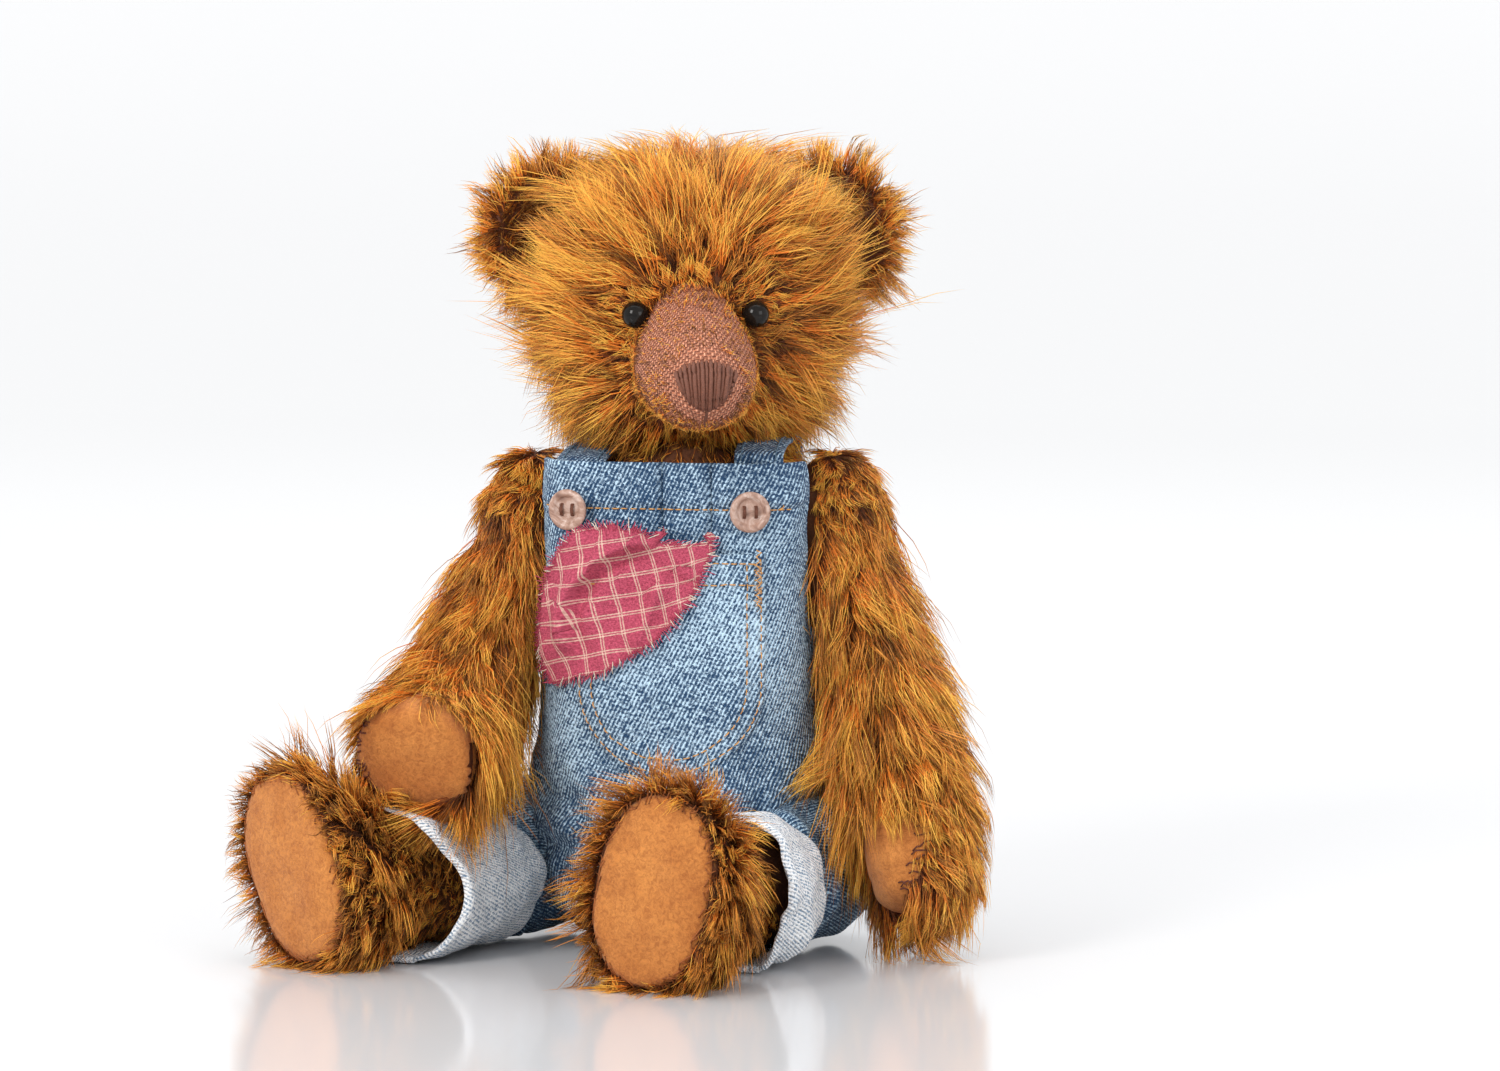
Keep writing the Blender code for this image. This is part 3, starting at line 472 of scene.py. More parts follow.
def pile(name, body, roots, normals, flow, length, lift, droop, rng, per_lock=LOCK_STRANDS,
         gather=LOCK_GATHER, shade_bias=0.0, radius=STRAND_R, curl=1.0):
    """Grows locks of pile and rides them on a body.

    flow is the way the pile lies along the skin, lift how far it stands off it (0 to 1), droop how far
    it hangs at its tip, gather how tightly a lock closes towards its tip. The first strands are the
    middles of the locks, and every strand belongs to the nearest one.
    """
    count = len(roots)
    side = np.cross(normals, flow)
    flow = unit(flow + side * (LOCK_SWIRL * waves(roots, 9 * MM, 201))[:, None])
    length = length * (1 + 0.24 * waves(roots, 8 * MM, 202))
    lift = lift * (1 + 0.45 * waves(roots, 7 * MM, 203))
    droop = np.broadcast_to(droop, count)
    locks = max(count // per_lock, 1)
    lock = nearest(roots[:locks], roots)

    def directions(index, jitter):
        side = np.cross(normals[index], flow[index])
        swing = jitter[:, :1] * LOCK_SCATTER
        lie = unit(flow[index] + side * swing)
        stand = lift[index][:, None] * (1 + 0.5 * jitter[:, 1:2])
        first = unit(lie + normals[index] * (stand + 0.24))
        last = unit(lie + normals[index] * stand * 0.6 - UP * droop[index][:, None])
        return first, last

    lock_jitter = rng.normal(0, 1, (locks, 2))
    lock_length = length[:locks] * np.clip(rng.normal(1, 0.22, locks), 0.5, 1.6)
    lock_shade = np.clip(rng.normal(1.5 + shade_bias, 1.0, locks), 0, 3)
    lock_first, lock_last = directions(np.arange(locks), lock_jitter)
    times = np.array(STRAND_RINGS + (1.0,))
    lock_points = strand_curves(roots[:locks], lock_first, lock_last, lock_length, times)

    own = lock_jitter[lock] * 0.8 + rng.normal(0, 0.55, (count, 2))
    first, last = directions(np.arange(count), own)
    guard = rng.random(count) < GUARD_SHARE
    reach = lock_length[lock] * np.clip(rng.normal(1, 0.14, count), 0.55, 1.35)
    reach *= np.where(guard, GUARD_LENGTH, UNDER_LENGTH)
    stray = rng.random(count) < STRAY_SHARE
    first = unit(first + normals * (STRAY_RISE * stray)[:, None])
    points = strand_curves(roots, first, last, reach, times)
    pull = (gather * smoothstep(times))[None, :, None] * rng.uniform(0.55, 1.0, (count, 1, 1))
    pull = pull * np.where(stray, STRAY_GATHER, 1.0)[:, None, None]
    points = points * (1 - pull) + (lock_points[lock] + rng.normal(0, 0.25 * MM, (count, 1, 3))) * pull
    sideways = unit(np.cross(first, normals))
    wave = np.sin(2 * math.pi * (times[None] * rng.uniform(0.5, 1.1, (count, 1)) + rng.random((count, 1))))
    points += sideways[:, None] * (wave * times[None] * rng.uniform(0.2, 0.9, (count, 1)) * MM)[..., None]
    lock_side = unit(np.cross(lock_first, normals[:locks]))
    bend = np.sin(2 * math.pi * (times[None] * rng.uniform(0.6, 1.2, (locks, 1)) + rng.random((locks, 1))))
    sway = bend * times[None] * rng.uniform(0.4, 1.6, (locks, 1)) * curl * MM
    points += (lock_side[:, None] * sway[..., None])[lock]
    points = in_bounds(points)
    kind_shade = np.where(guard, GUARD_SHADE, UNDER_SHADE)
    shade = np.clip(np.rint(lock_shade[lock] + kind_shade + rng.normal(0, 0.5, count)), 0, 3).astype(int)
    thick = radius * np.where(guard, GUARD_WIDTH, UNDER_WIDTH) * rng.uniform(0.7, 1.2, count)
    pieces = math.ceil(count / PIECE_STRANDS)
    for number, part in enumerate(np.array_split(np.arange(count), pieces)):
        tag = f"{name}_{number + 1}" if pieces > 1 else name
        made = strand_mesh(tag, points[part], thick[part], shade[part])
        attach(made, body)


def strand_mesh(name, points, thick, shade):
    """Three-sided tapering strands as one mesh, each coloured from its root to its tip."""
    count, rings = points.shape[0], len(RING_WIDTH)
    tangent = unit(np.gradient(points, axis=1))[:, :rings]
    helper = np.where(np.abs(tangent[..., 2:]) < 0.8, [[[0, 0, 1.0]]], [[[1.0, 0, 0]]])
    side = unit(np.cross(tangent, helper))
    up = np.cross(side, tangent)
    angle = 2 * math.pi * np.arange(3) / 3
    spread = side[:, :, None] * np.cos(angle)[:, None] + up[:, :, None] * np.sin(angle)[:, None]
    wide = thick[:, None, None, None] * np.array(RING_WIDTH)[None, :, None, None]
    body = (points[:, :rings, None] + spread * wide).reshape(count, rings * 3, 3)
    vertices = np.concatenate([body, points[:, -1:]], 1)
    vertices[..., 2] = np.maximum(vertices[..., 2], FLOOR_CLEAR * 0.3)
    per = rings * 3 + 1
    quads = np.array([[3 * r + s, 3 * r + (s + 1) % 3, 3 * r + 3 + (s + 1) % 3, 3 * r + 3 + s]
                      for r in range(rings - 1) for s in range(3)])
    top = 3 * (rings - 1)
    tips = np.array([[top + s, top + (s + 1) % 3, top + 3] for s in range(3)])
    base = (np.arange(count) * per)[:, None]
    corners = np.concatenate([(quads.ravel()[None] + base), (tips.ravel()[None] + base)], 1).ravel()
    sizes = np.tile(np.concatenate([np.full(len(quads), 4), np.full(len(tips), 3)]), count)
    part = np.repeat(RING_PART, 3)
    look = (part[None] * len(PILE_SHADES) + shade[:, None]).ravel()
    mesh = bpy.data.meshes.new(name)
    mesh.vertices.add(count * per)
    mesh.vertices.foreach_set("co", vertices.ravel().astype(np.float32))
    mesh.loops.add(len(corners))
    mesh.loops.foreach_set("vertex_index", corners.astype(np.int32))
    mesh.polygons.add(len(sizes))
    mesh.polygons.foreach_set("loop_start", np.concatenate([[0], np.cumsum(sizes)[:-1]]).astype(np.int32))
    mesh.polygons.foreach_set("material_index", look.astype(np.int32))
    mesh.update()
    mesh.shade_smooth()
    for material in PILE_LOOKS:
        mesh.materials.append(material)
    made = bpy.data.objects.new(name, mesh)
    bpy.context.scene.collection.objects.link(made)
    return made


# ---- node materials -----------------------------------------------------------------------
class Look:
    """A Principled material with short ways to add nodes."""

    def __init__(self, name, roughness=0.9):
        self.material = bpy.data.materials.new(name)
        self.material.use_nodes = True
        self.tree = self.material.node_tree
        self.shader = self.tree.nodes["Principled BSDF"]
        self.shader.inputs["Roughness"].default_value = roughness

    def node(self, kind, **settings):
        made = self.tree.nodes.new(kind)
        for key, value in settings.items():
            setattr(made, key, value)
        return made

    def feed(self, socket, value):
        if hasattr(value, "is_output"):
            self.tree.links.new(value, socket)
        else:
            socket.default_value = value

    def maths(self, operation, first, second=0.0, third=0.0):
        made = self.node("ShaderNodeMath", operation=operation)
        for socket, value in zip(made.inputs, (first, second, third)):
            self.feed(socket, value)
        return made.outputs[0]

    def in_millimetres(self, vector):
        scaled = self.node("ShaderNodeVectorMath", operation="SCALE")
        self.feed(scaled.inputs[0], vector)
        scaled.inputs["Scale"].default_value = 1 / MM
        return scaled.outputs[0]

    def cloth(self):
        """The cloth map, in millimetres."""
        return self.in_millimetres(self.node("ShaderNodeUVMap", uv_map="cloth").outputs[0])

    def place(self):
        """The place on the object, in millimetres."""
        return self.in_millimetres(self.node("ShaderNodeTexCoord").outputs["Object"])

    def wandering(self, vector, scale, reach):
        """A vector bent by slow noise, for threads that don't run dead straight."""
        made = self.node("ShaderNodeVectorMath", operation="ADD")
        self.feed(made.inputs[0], vector)
        self.feed(made.inputs[1], self.maths("MULTIPLY", self.noise(vector, scale), reach))
        return made.outputs[0]

    def parts(self, vector):
        made = self.node("ShaderNodeSeparateXYZ")
        self.feed(made.inputs[0], vector)
        return made.outputs

    def noise(self, vector, scale, detail=2.0, roughness=0.5, distortion=0.0):
        made = self.node("ShaderNodeTexNoise")
        self.feed(made.inputs["Vector"], vector)
        made.inputs["Scale"].default_value = scale
        made.inputs["Detail"].default_value = detail
        made.inputs["Roughness"].default_value = roughness
        made.inputs["Distortion"].default_value = distortion
        return made.outputs["Fac"]

    def ridges(self, vector, direction, pitch, phase=0.0):
        """A sine from 0 to 1 along a direction, one ridge each pitch."""
        dot = self.node("ShaderNodeVectorMath", operation="DOT_PRODUCT")
        self.feed(dot.inputs[0], vector)
        dot.inputs[1].default_value = tuple(2 * math.pi * c / pitch for c in direction)
        sine = self.maths("SINE", self.maths("ADD", dot.outputs["Value"], phase))
        return self.maths("MULTIPLY_ADD", sine, 0.5, 0.5)

    def ramp(self, value, stops):
        """A colour that runs through (place, colour) stops."""
        made = self.node("ShaderNodeValToRGB")
        self.feed(made.inputs[0], value)
        elements = made.color_ramp.elements
        while len(elements) < len(stops):
            elements.new(0.5)
        for element, (place, colour) in zip(elements, stops):
            element.position = place
            element.color = (*colour, 1)
        return made.outputs[0]

    def blend(self, amount, first, second, mode="MIX"):
        made = self.node("ShaderNodeMix", data_type="RGBA", blend_type=mode)
        self.feed(made.inputs[0], amount)
        for socket, value in ((made.inputs[6], first), (made.inputs[7], second)):
            if not hasattr(value, "is_output"):
                value = (*value, 1)
            self.feed(socket, value)
        return made.outputs[2]

    def times(self, first, second):
        return self.blend(1.0, first, second, "MULTIPLY")

    def finish(self, colour, height=None, strength=0.5, depth=0.0003, roughness=None, sheen=0.0):
        self.feed(self.shader.inputs["Base Color"], colour)
        if height is not None:
            bump = self.node("ShaderNodeBump")
            bump.inputs["Strength"].default_value = strength
            bump.inputs["Distance"].default_value = depth
            self.feed(bump.inputs["Height"], height)
            self.tree.links.new(bump.outputs[0], self.shader.inputs["Normal"])
        if roughness is not None:
            self.feed(self.shader.inputs["Roughness"], roughness)
        self.shader.inputs["Sheen Weight"].default_value = sheen
        return self.material


def weave(look, vector, pitch):
    """Height of a plain weave, warp over weft in turn, and which of the two is on top."""
    warp = look.ridges(vector, (1, 0, 0), pitch)
    weft = look.ridges(vector, (0, 1, 0), pitch)
    columns, rows = (look.maths("SUBTRACT", look.ridges(vector, direction, pitch), 0.5)
                     for direction in ((0.5, 0, 0), (0, 0.5, 0)))
    over = look.maths("GREATER_THAN", look.maths("MULTIPLY", columns, rows), 0.0)
    mix = look.node("ShaderNodeMix", data_type="FLOAT")
    look.feed(mix.inputs[0], over)
    look.feed(mix.inputs[2], warp)
    look.feed(mix.inputs[3], weft)
    return mix.outputs[0], over


# the denim's tone up its height, wear and painted shade together: darker down at the hips and the lap where
# shade falls, a paler faded band across the middle, darker again towards the top: (share of the height, wear
# and painted shade)
DENIM_WEAR_AND_SHADE = ((0.0, 0.0), (0.22, 0.06), (0.42, 0.30), (0.62, 0.36), (0.80, 0.14), (1.0, 0.10))
WEAR_AND_SHADE_HEIGHT = 150.0                      # mm
RIB_PITCH, YARN_PITCH = 1.25, 1.2          # of the twill's ribs and of the yarns across them, mm
MUZZLE_PITCH, CHECKED_PITCH = 1.05, 0.5    # of the plain weaves, mm
CHECKS = ((0, 5.6), (1, 5.2))              # the cloth map's axis and the grid's pitch along it, mm
LINE_PLACE, LINE_HALF = 0.34, 0.17         # where in its cell a cream line lies, and half its width, mm


def denim_look(name, dark, light, fade=1.0, lightness=0.0):
    """Twill: white weft showing in steep diagonal ribs between blue warp, faded in patches, and with painted
    shade darker towards the hips.
    """
    look = Look(name, 0.85)
    flat = look.wandering(look.cloth(), 0.25, 0.9)
    rib = look.ridges(flat, (1, -0.5, 0), RIB_PITCH)
    yarn = look.ridges(flat, (0.25, 1, 0), YARN_PITCH, 1.0)
    slub = look.noise(flat, 1.0, 4, 0.85, 0.6)
    patch = look.noise(flat, 0.022, 2, 0.5)
    height = look.maths("MULTIPLY_ADD", rib, 0.75, look.maths("MULTIPLY", yarn, 0.25))
    flecks = look.maths("MULTIPLY_ADD", slub, 1.85, lightness - 0.68)
    cloth_tone = look.maths("MULTIPLY_ADD", patch, 0.35 * fade, flecks)
    level = look.maths("DIVIDE", look.parts(look.place())[2], WEAR_AND_SHADE_HEIGHT)
    # painted shade: this ramp darkens the denim towards the hips and the lap as well as fading its middle;
    # fade scales both the patches and this painted shade
    height_wear_and_shade = look.ramp(level, [(place, (tone, tone, tone)) for place, tone in DENIM_WEAR_AND_SHADE])
    cloth_tone = look.maths("MULTIPLY_ADD", height_wear_and_shade, 0.5 * fade, cloth_tone)
    weft = look.maths("MULTIPLY_ADD", height, 0.34, cloth_tone)
    middle = tuple(0.70 * a + 0.30 * b for a, b in zip(dark, light))
    colour = look.ramp(weft, ((0.60, dark), (0.75, middle), (0.88, light)))
    return look.finish(colour, height, 0.9, 0.0005, sheen=0.05)


def muzzle_look():
    """Bare woven backing: russet warp and paler weft in an open coarse weave, with painted shade in the
    weave's hollows.
    """
    look = Look("muzzle_cloth", 0.92)
    flat = look.cloth()
    height, over = weave(look, look.wandering(flat, 0.35, 1.2), MUZZLE_PITCH)
    mottle = look.noise(flat, 0.9, 4, 0.7)
    thread = look.blend(over, (0.74, 0.345, 0.215), (0.50, 0.185, 0.100))
    shade = look.ramp(mottle, ((0.34, (0.50, 0.42, 0.38)), (0.62, (1.50, 1.46, 1.44))))
    # painted shade: the weave's low places are darkened to about a third, as if shaded between the threads
    deep = look.ramp(height, ((0.0, (0.30, 0.20, 0.18)), (0.5, (1, 1, 1))))
    return look.finish(look.times(look.times(thread, shade), deep), height, 1.0, 0.0006)


def grained_look(name, colour, roughness, grain, tones, bump, metallic=0.0):
    """One colour with a fine grain, from noise settings, (place, share of the colour) pairs and a bump."""
    look = Look(name, roughness)
    look.shader.inputs["Metallic"].default_value = metallic
    height = look.noise(look.place(), *grain)
    stops = [(place, tuple(min(channel * share, 1) for channel in colour)) for place, share in tones]
    return look.finish(look.ramp(height, stops), height, *bump)


def backing_look(name, colour):
    """Knitted backing under the pile."""
    return grained_look(name, colour, 0.95, (1.2, 4, 0.7), ((0.25, 0.5), (0.75, 1.5)), (0.5, 0.0005))


def felt_look():
    """Pressed wool felt: soft, mottled, with short matted fibres."""
    look = Look("pad_felt", 0.95)
    where = look.place()
    cloud = look.noise(where, 0.09, 3, 0.6)
    fibre = look.noise(where, 2.2, 5, 0.75, 1.5)
    fleck = look.noise(where, 0.7, 3, 0.8, 0.8)
    base = look.ramp(cloud, ((0.3, (0.49, 0.166, 0.031)), (0.7, (0.64, 0.250, 0.054))))
    flecks = look.ramp(fleck, ((0.35, (0.72, 0.62, 0.55)), (0.55, (1, 1, 1)), (0.75, (1.18, 1.15, 1.1))))
    fine = look.ramp(fibre, ((0.3, (0.85, 0.82, 0.8)), (0.7, (1.1, 1.1, 1.1))))
    colour = look.times(look.times(base, flecks), fine)
    return look.finish(colour, look.maths("ADD", fibre, fleck), 0.6, 0.0004, sheen=0.12)


def thread_look(name, colour, roughness=0.6):
    """Twisted thread."""
    return grained_look(name, colour, roughness, (3.0, 3, 0.6, 1.0), ((0.3, 0.6), (0.7, 1.5)), (0.5, 0.0002))


def horn_look():
    """Swirled horn-like button."""
    look = Look("horn_button", 0.28)
    where = look.place()
    swirl = look.noise(where, 0.16, 4, 0.6, 2.5)
    colour = look.ramp(swirl, ((0.3, (0.20, 0.105, 0.075)), (0.5, (0.40, 0.24, 0.18)),
                               (0.7, (0.62, 0.47, 0.40))))
    rough = look.maths("MULTIPLY_ADD", look.noise(where, 1.5, 3), 0.25, 0.2)
    return look.finish(colour, swirl, 0.1, 0.0002, rough)


def glass_look():
    """Polished black glass, a little uneven in its tone."""
    look = Look("black_glass", 0.03)
    cloud = look.noise(look.place(), 0.5)
    colour = look.ramp(cloud, ((0.3, (0.004, 0.0035, 0.003)), (0.7, (0.012, 0.009, 0.007))))
    look.shader.inputs["Specular IOR Level"].default_value = 0.2
    return look.finish(colour)


def checked_look():
    """Crimson plain weave with cream lines in a grid."""
    look = Look("checked_cotton", 0.9)
    flat = look.cloth()
    weave_height, _ = weave(look, flat, CHECKED_PITCH)
    lines = []
    for axis, pitch in CHECKS:
        cell = look.maths("PINGPONG", look.parts(flat)[axis], pitch / 2)
        gap = look.maths("ABSOLUTE", look.maths("SUBTRACT", cell, LINE_PLACE))
        lines.append(look.maths("LESS_THAN", gap, LINE_HALF))
    cream = look.maths("MAXIMUM", lines[0], lines[1])
    crossing = look.maths("MULTIPLY", lines[0], lines[1])
    slub = look.noise(flat, 1.6, 3, 0.7)
    red = look.ramp(slub, ((0.32, (0.24, 0.020, 0.048)), (0.68, (0.64, 0.100, 0.170))))
    pale = look.ramp(slub, ((0.3, (0.50, 0.27, 0.22)), (0.7, (0.86, 0.66, 0.52))))
    amount = look.maths("MULTIPLY_ADD", cream, 0.72, look.maths("MULTIPLY", crossing, 0.25))
    return look.finish(look.blend(amount, red, pale), weave_height, 0.6, 0.0002)


def inner_look(name, colour, scale, roughness=0.9, metallic=0.0):
    """Grain for the pieces hidden inside: wadding, hardboard, plated steel."""
    return grained_look(name, colour, roughness, (scale, 4, 0.7), ((0.3, 0.8), (0.7, 1.15)), (0.3, 0.0002),
                        metallic)


# ---- shared shapes ------------------------------------------------------------------------
WAVE_COUNT = 20                            # sines added up in the smooth noise
STITCH_PITCH, STITCH_SHARE = 2.7, 0.72     # stitch spacing, mm, and how much of it is thread
STITCH_ARCH = np.array([-0.9, 0.5, 1, 1, 0.5, -0.9])
STITCH_PROUD = 0.25                        # how high a stitch arches over the cloth, mm


def waves(points, size, seed):
    """Smooth noise near -1 to 1 whose bumps are about size across, in metres."""
    rng = np.random.default_rng(seed)
    direction = unit(rng.normal(0, 1, (WAVE_COUNT, 3)))
    pitch = size * rng.uniform(0.8, 2.2, WAVE_COUNT)
    phase = rng.uniform(0, 2 * math.pi, WAVE_COUNT)
    total = np.zeros(np.shape(points)[:-1])
    for d, p, offset in zip(direction, pitch, phase):
        total += np.sin(np.asarray(points) @ d * (2 * math.pi / p) + offset)
    return total / math.sqrt(WAVE_COUNT / 2) / 1.6


def creases(points, size, seed):
    """Noise with sharp hollow lines between rounded bulges, 0 to 1."""
    bend = np.stack([waves(points, size * 1.5, seed + k) for k in (1, 2, 3)], -1)
    bent = np.asarray(points) + bend * size * 0.3
    return np.clip(np.abs(waves(bent, size, seed)), 0, 1) ** 0.7


def tube(points, radius, sides=8):
    """Vertices and faces of a round thread through points, closed at both ends."""
    points = np.asarray(points, float)
    radius = np.broadcast_to(radius, len(points))
    tangent = unit(np.gradient(points, axis=0))
    helper = np.where(np.abs(tangent[:, 2:]) < 0.9, [[0, 0, 1.0]], [[1.0, 0, 0]])
    side = unit(np.cross(tangent, helper))
    up = np.cross(side, tangent)
    angle = 2 * math.pi * np.arange(sides) / sides
    rings = points[:, None] + (side[:, None] * np.cos(angle)[:, None]
                               + up[:, None] * np.sin(angle)[:, None]) * radius[:, None, None]
    vertices = rings.reshape(-1, 3)
    last = (len(points) - 1) * sides
    faces = [[low + j, low + (j + 1) % sides, low + sides + (j + 1) % sides, low + sides + j]
             for low in range(0, last, sides) for j in range(sides)]
    faces.append(list(range(sides))[::-1])
    faces.append([last + j for j in range(sides)])
    return vertices, faces


def joined(parts):
    """One vertex and face list from many."""
    vertices, faces, start = [], [], 0
    for v, f in parts:
        vertices.append(v)
        faces.extend([[c + start for c in face] for face in f])
        start += len(v)
    return np.concatenate(vertices), faces


def threads(name, paths, radius, look, slot, body, *nodes, taper=0.75):
    """Many threads as one piece; their ends taper into the cloth."""
    parts = []
    for path in paths:
        path = np.asarray(path)
        ends = np.ones(len(path))
        ends[0] = ends[-1] = taper
        parts.append(tube(path, radius * ends, 7))
    vertices, faces = joined(parts)
    made = mesh_from(name, vertices, faces)
    made.data.materials.append(look)
    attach(made, body)
    if nodes:
        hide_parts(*nodes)
    return made


def stitches(path, normals, rng):
    """Short raised stitches along a path that lies on cloth."""
    along = run_length(path)
    arch = STITCH_PROUD * MM * STITCH_ARCH
    made = []
    at = 0.3 * STITCH_PITCH * MM
    while at + STITCH_PITCH * STITCH_SHARE * MM < along[-1]:
        long = STITCH_PITCH * STITCH_SHARE * MM * rng.uniform(0.85, 1.12)
        times = at + long * np.linspace(0, 1, len(arch))
        line = np.stack([np.interp(times, along, path[:, k]) for k in range(3)], -1)
        out = unit(np.stack([np.interp(times, along, normals[:, k]) for k in range(3)], -1))
        made.append(line + out * arch[:, None])
        at += STITCH_PITCH * MM * rng.uniform(0.93, 1.07)
    return made


def skin(name, surface, look, slot, body, *nodes, fill=0.7):
    """A stuffed cover: the surface closed at both ends."""
    made = surface_object(name, surface, look)
    close_ends(made, surface)
    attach(made, body)
    if nodes:
        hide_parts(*nodes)
    return made


def close_ends(made, surface):
    """Caps the first and last rings of a piece made from a closed surface."""
    rings, count = surface.points.shape[:2]
    mesh = bmesh.new()
    mesh.from_mesh(made.data)
    mesh.verts.ensure_lookup_table()
    for base, step in ((0, -1), ((rings - 1) * count, 1)):
        corners = [mesh.verts[base + j] for j in range(count)][::step]
        face = mesh.faces.new(corners)
        face.smooth = True
    mesh.to_mesh(made.data)
    mesh.free()


def map_points(made, uv):
    """Gives a piece a cloth map with one (u, v) for each point of its surface."""
    lay_cloth_map(made, uv.reshape(-1, 2)[corner_vertices(made)])


def cloth_piece(name, surface, look, body, thick=1.0, nodes=(),
                offset=-1.0, keep=None, uv=None):
    """A sheet with real thickness in mm, its cloth map in metres."""
    made = surface_object(name, surface, look)
    if uv is not None:
        map_points(made, uv)
    if keep is not None:
        drop_faces(made, ~keep)
    solid = made.modifiers.new("thickness", "SOLIDIFY")
    solid.thickness = thick * MM
    solid.offset = offset
    solid.use_quality_normals = True
    solid.use_even_offset = False
    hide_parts(*nodes)
    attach(made, body)


def bake_modifiers(made):
    """Turns a piece with its modifiers into a plain mesh."""
    depsgraph = bpy.context.evaluated_depsgraph_get()
    mesh = bpy.data.meshes.new_from_object(made.evaluated_get(depsgraph))
    made.modifiers.clear()
    made.data = mesh


def drop_faces(made, unwanted):
    """Takes out the faces of a mask."""
    mesh = bmesh.new()
    mesh.from_mesh(made.data)
    mesh.faces.ensure_lookup_table()
    doomed = [mesh.faces[i] for i in np.flatnonzero(unwanted)]
    bmesh.ops.delete(mesh, geom=doomed, context="FACES")
    mesh.to_mesh(made.data)
    mesh.free()


# ---- looks --------------------------------------------------------------------------------
BACKING = backing_look("mohair_backing", (0.11, 0.034, 0.010))
EAR_BACKING = backing_look("ear_backing", (0.125, 0.040, 0.018))
MUZZLE_CLOTH = muzzle_look()
FELT = felt_look()
DENIM = denim_look("denim", (0.005, 0.044, 0.118), (0.57, 0.78, 0.95), lightness=0.01)
TROUSER_DENIM = denim_look("trouser_denim", (0.005, 0.044, 0.112), (0.50, 0.71, 0.88), 0.9, 0.07)
DENIM_REVERSE = denim_look("denim_reverse", (0.15, 0.25, 0.38), (0.97, 0.99, 1.0), 0.6, 0.33)
CHECKED = checked_look()
BROWN_THREAD = thread_look("brown_thread", (0.125, 0.040, 0.020), 0.7)
NOSE_THREAD = thread_look("nose_thread", (0.155, 0.052, 0.028), 0.6)
PAD_THREAD = thread_look("pad_thread", (0.11, 0.026, 0.012), 0.7)
SOLE_THREAD = thread_look("sole_thread", (0.33, 0.10, 0.022), 0.8)
GOLD_THREAD = thread_look("gold_thread", (0.60, 0.29, 0.08), 0.6)
BLUE_THREAD = thread_look("blue_thread", (0.10, 0.17, 0.24), 0.7)
RED_THREAD = thread_look("red_thread", (0.40, 0.045, 0.09), 0.8)
CREAM_THREAD = thread_look("cream_thread", (0.75, 0.55, 0.45), 0.8)
HORN = horn_look()
GLASS = glass_look()
INNER_LOOKS = {
    "wadding": inner_look("wadding", (0.75, 0.72, 0.66), 0.6, 0.95),
    "hardboard": inner_look("hardboard", (0.22, 0.12, 0.06), 1.5, 0.8),
    "zinc_steel": inner_look("zinc_steel", (0.55, 0.56, 0.58), 0.8, 0.35, 1.0),
}


# ---- head ---------------------------------------------------------------------------------
EYES = {side: head_point(side * EYE_HALF_SPACING - 1.2, EYE_FORWARD, EYE_Z) for side, _ in BEAR_SIDES}
NOSE_PLACE = head_point(0, 64, 167)
EAR_PROFILE = [(-6.8, 0.3), (-6.4, 5), (-4.8, 9.8), (-2.0, 13.4), (0.9, 15.2), (1.4, 16.4), (0.4, 17.2),
               (-3.8, 16.0), (-7.6, 11.6), (-9.2, 4.8), (-9.4, 0.3)]       # (ahead of the rim, radius), mm
EAR_CUP = 15.2                             # radius of the hollow, mm
NOSE_HALF, NOSE_COLUMNS = 8.2, 15          # half width, mm, and satin stitches across
NOSE_MIDDLE, NOSE_RISE, NOSE_DROP = (167.8, 167.2), 6.0, 7.2    # height of its upper and lower half, mm
NOSE_TAPER, NOSE_PUFF, NOSE_GROOVE = 0.24, 2.2, 0.55
NOSE_THREAD_R, MOUTH_THREAD_R = 0.66 * MM, 0.42 * MM
MOUTH_TOP, MOUTH_LENGTH = 160.5, 5.5       # mm


def head_surface():
    return facing_out(column(HEAD, NECK[:2], HEAD_YAW, low_cap=3 * MM, high_cap=2.5 * MM, sides=120))


def ear_frame(side):
    """An ear's middle and its axes: outwards, upwards and the way it faces."""
    out = head_direction(side, 0, 0.55)
    ahead = head_direction(-side * 0.25, 1, 0.05)
    ahead = unit(ahead - out * (ahead @ out))
    return head_point(side * 39.5 - 0.6, 3, 205.8), out, np.cross(out, ahead) * side, ahead


def ear_surface(side):
    centre, out, up, ahead = ear_frame(side)
    rows = through(EAR_PROFILE, 4)
    rings = [ring(centre + ahead * d * MM, out, up, r * MM, r * MM, 2, 56) for d, r in rows]
    return facing_out(Surface(np.array(rings)))


def on_head(points):
    """Head-frame places in mm: sideways (the bear's left), forward, up."""
    local = turn_z(np.asarray(points) - np.array([NECK[0], NECK[1], 0]), -HEAD_YAW) / MM
    return local[..., 0], -local[..., 1], local[..., 2]


def muzzle_level(points):
    """Below 1 inside the muzzle's cross-section, wherever along it the point is."""
    sideways, forward, up = on_head(points)
    rows = np.array(MUZZLE)
    z, wide, high = (np.interp(forward, rows[:, 0], rows[:, k]) for k in (1, 2, 3))
    wide = wide * muzzle_narrowing((up - z) / high)
    level = np.sqrt(((sideways - muzzle_sway(forward)) / wide) ** 2 + ((up - z) / high) ** 2)
    return np.where(forward > 8, level, 9.0)


def nearest_gap(points, places):
    """How far each point is from the nearest of some places, in mm."""
    return np.minimum(*[np.linalg.norm(points - place, axis=1) for place in places]) / MM


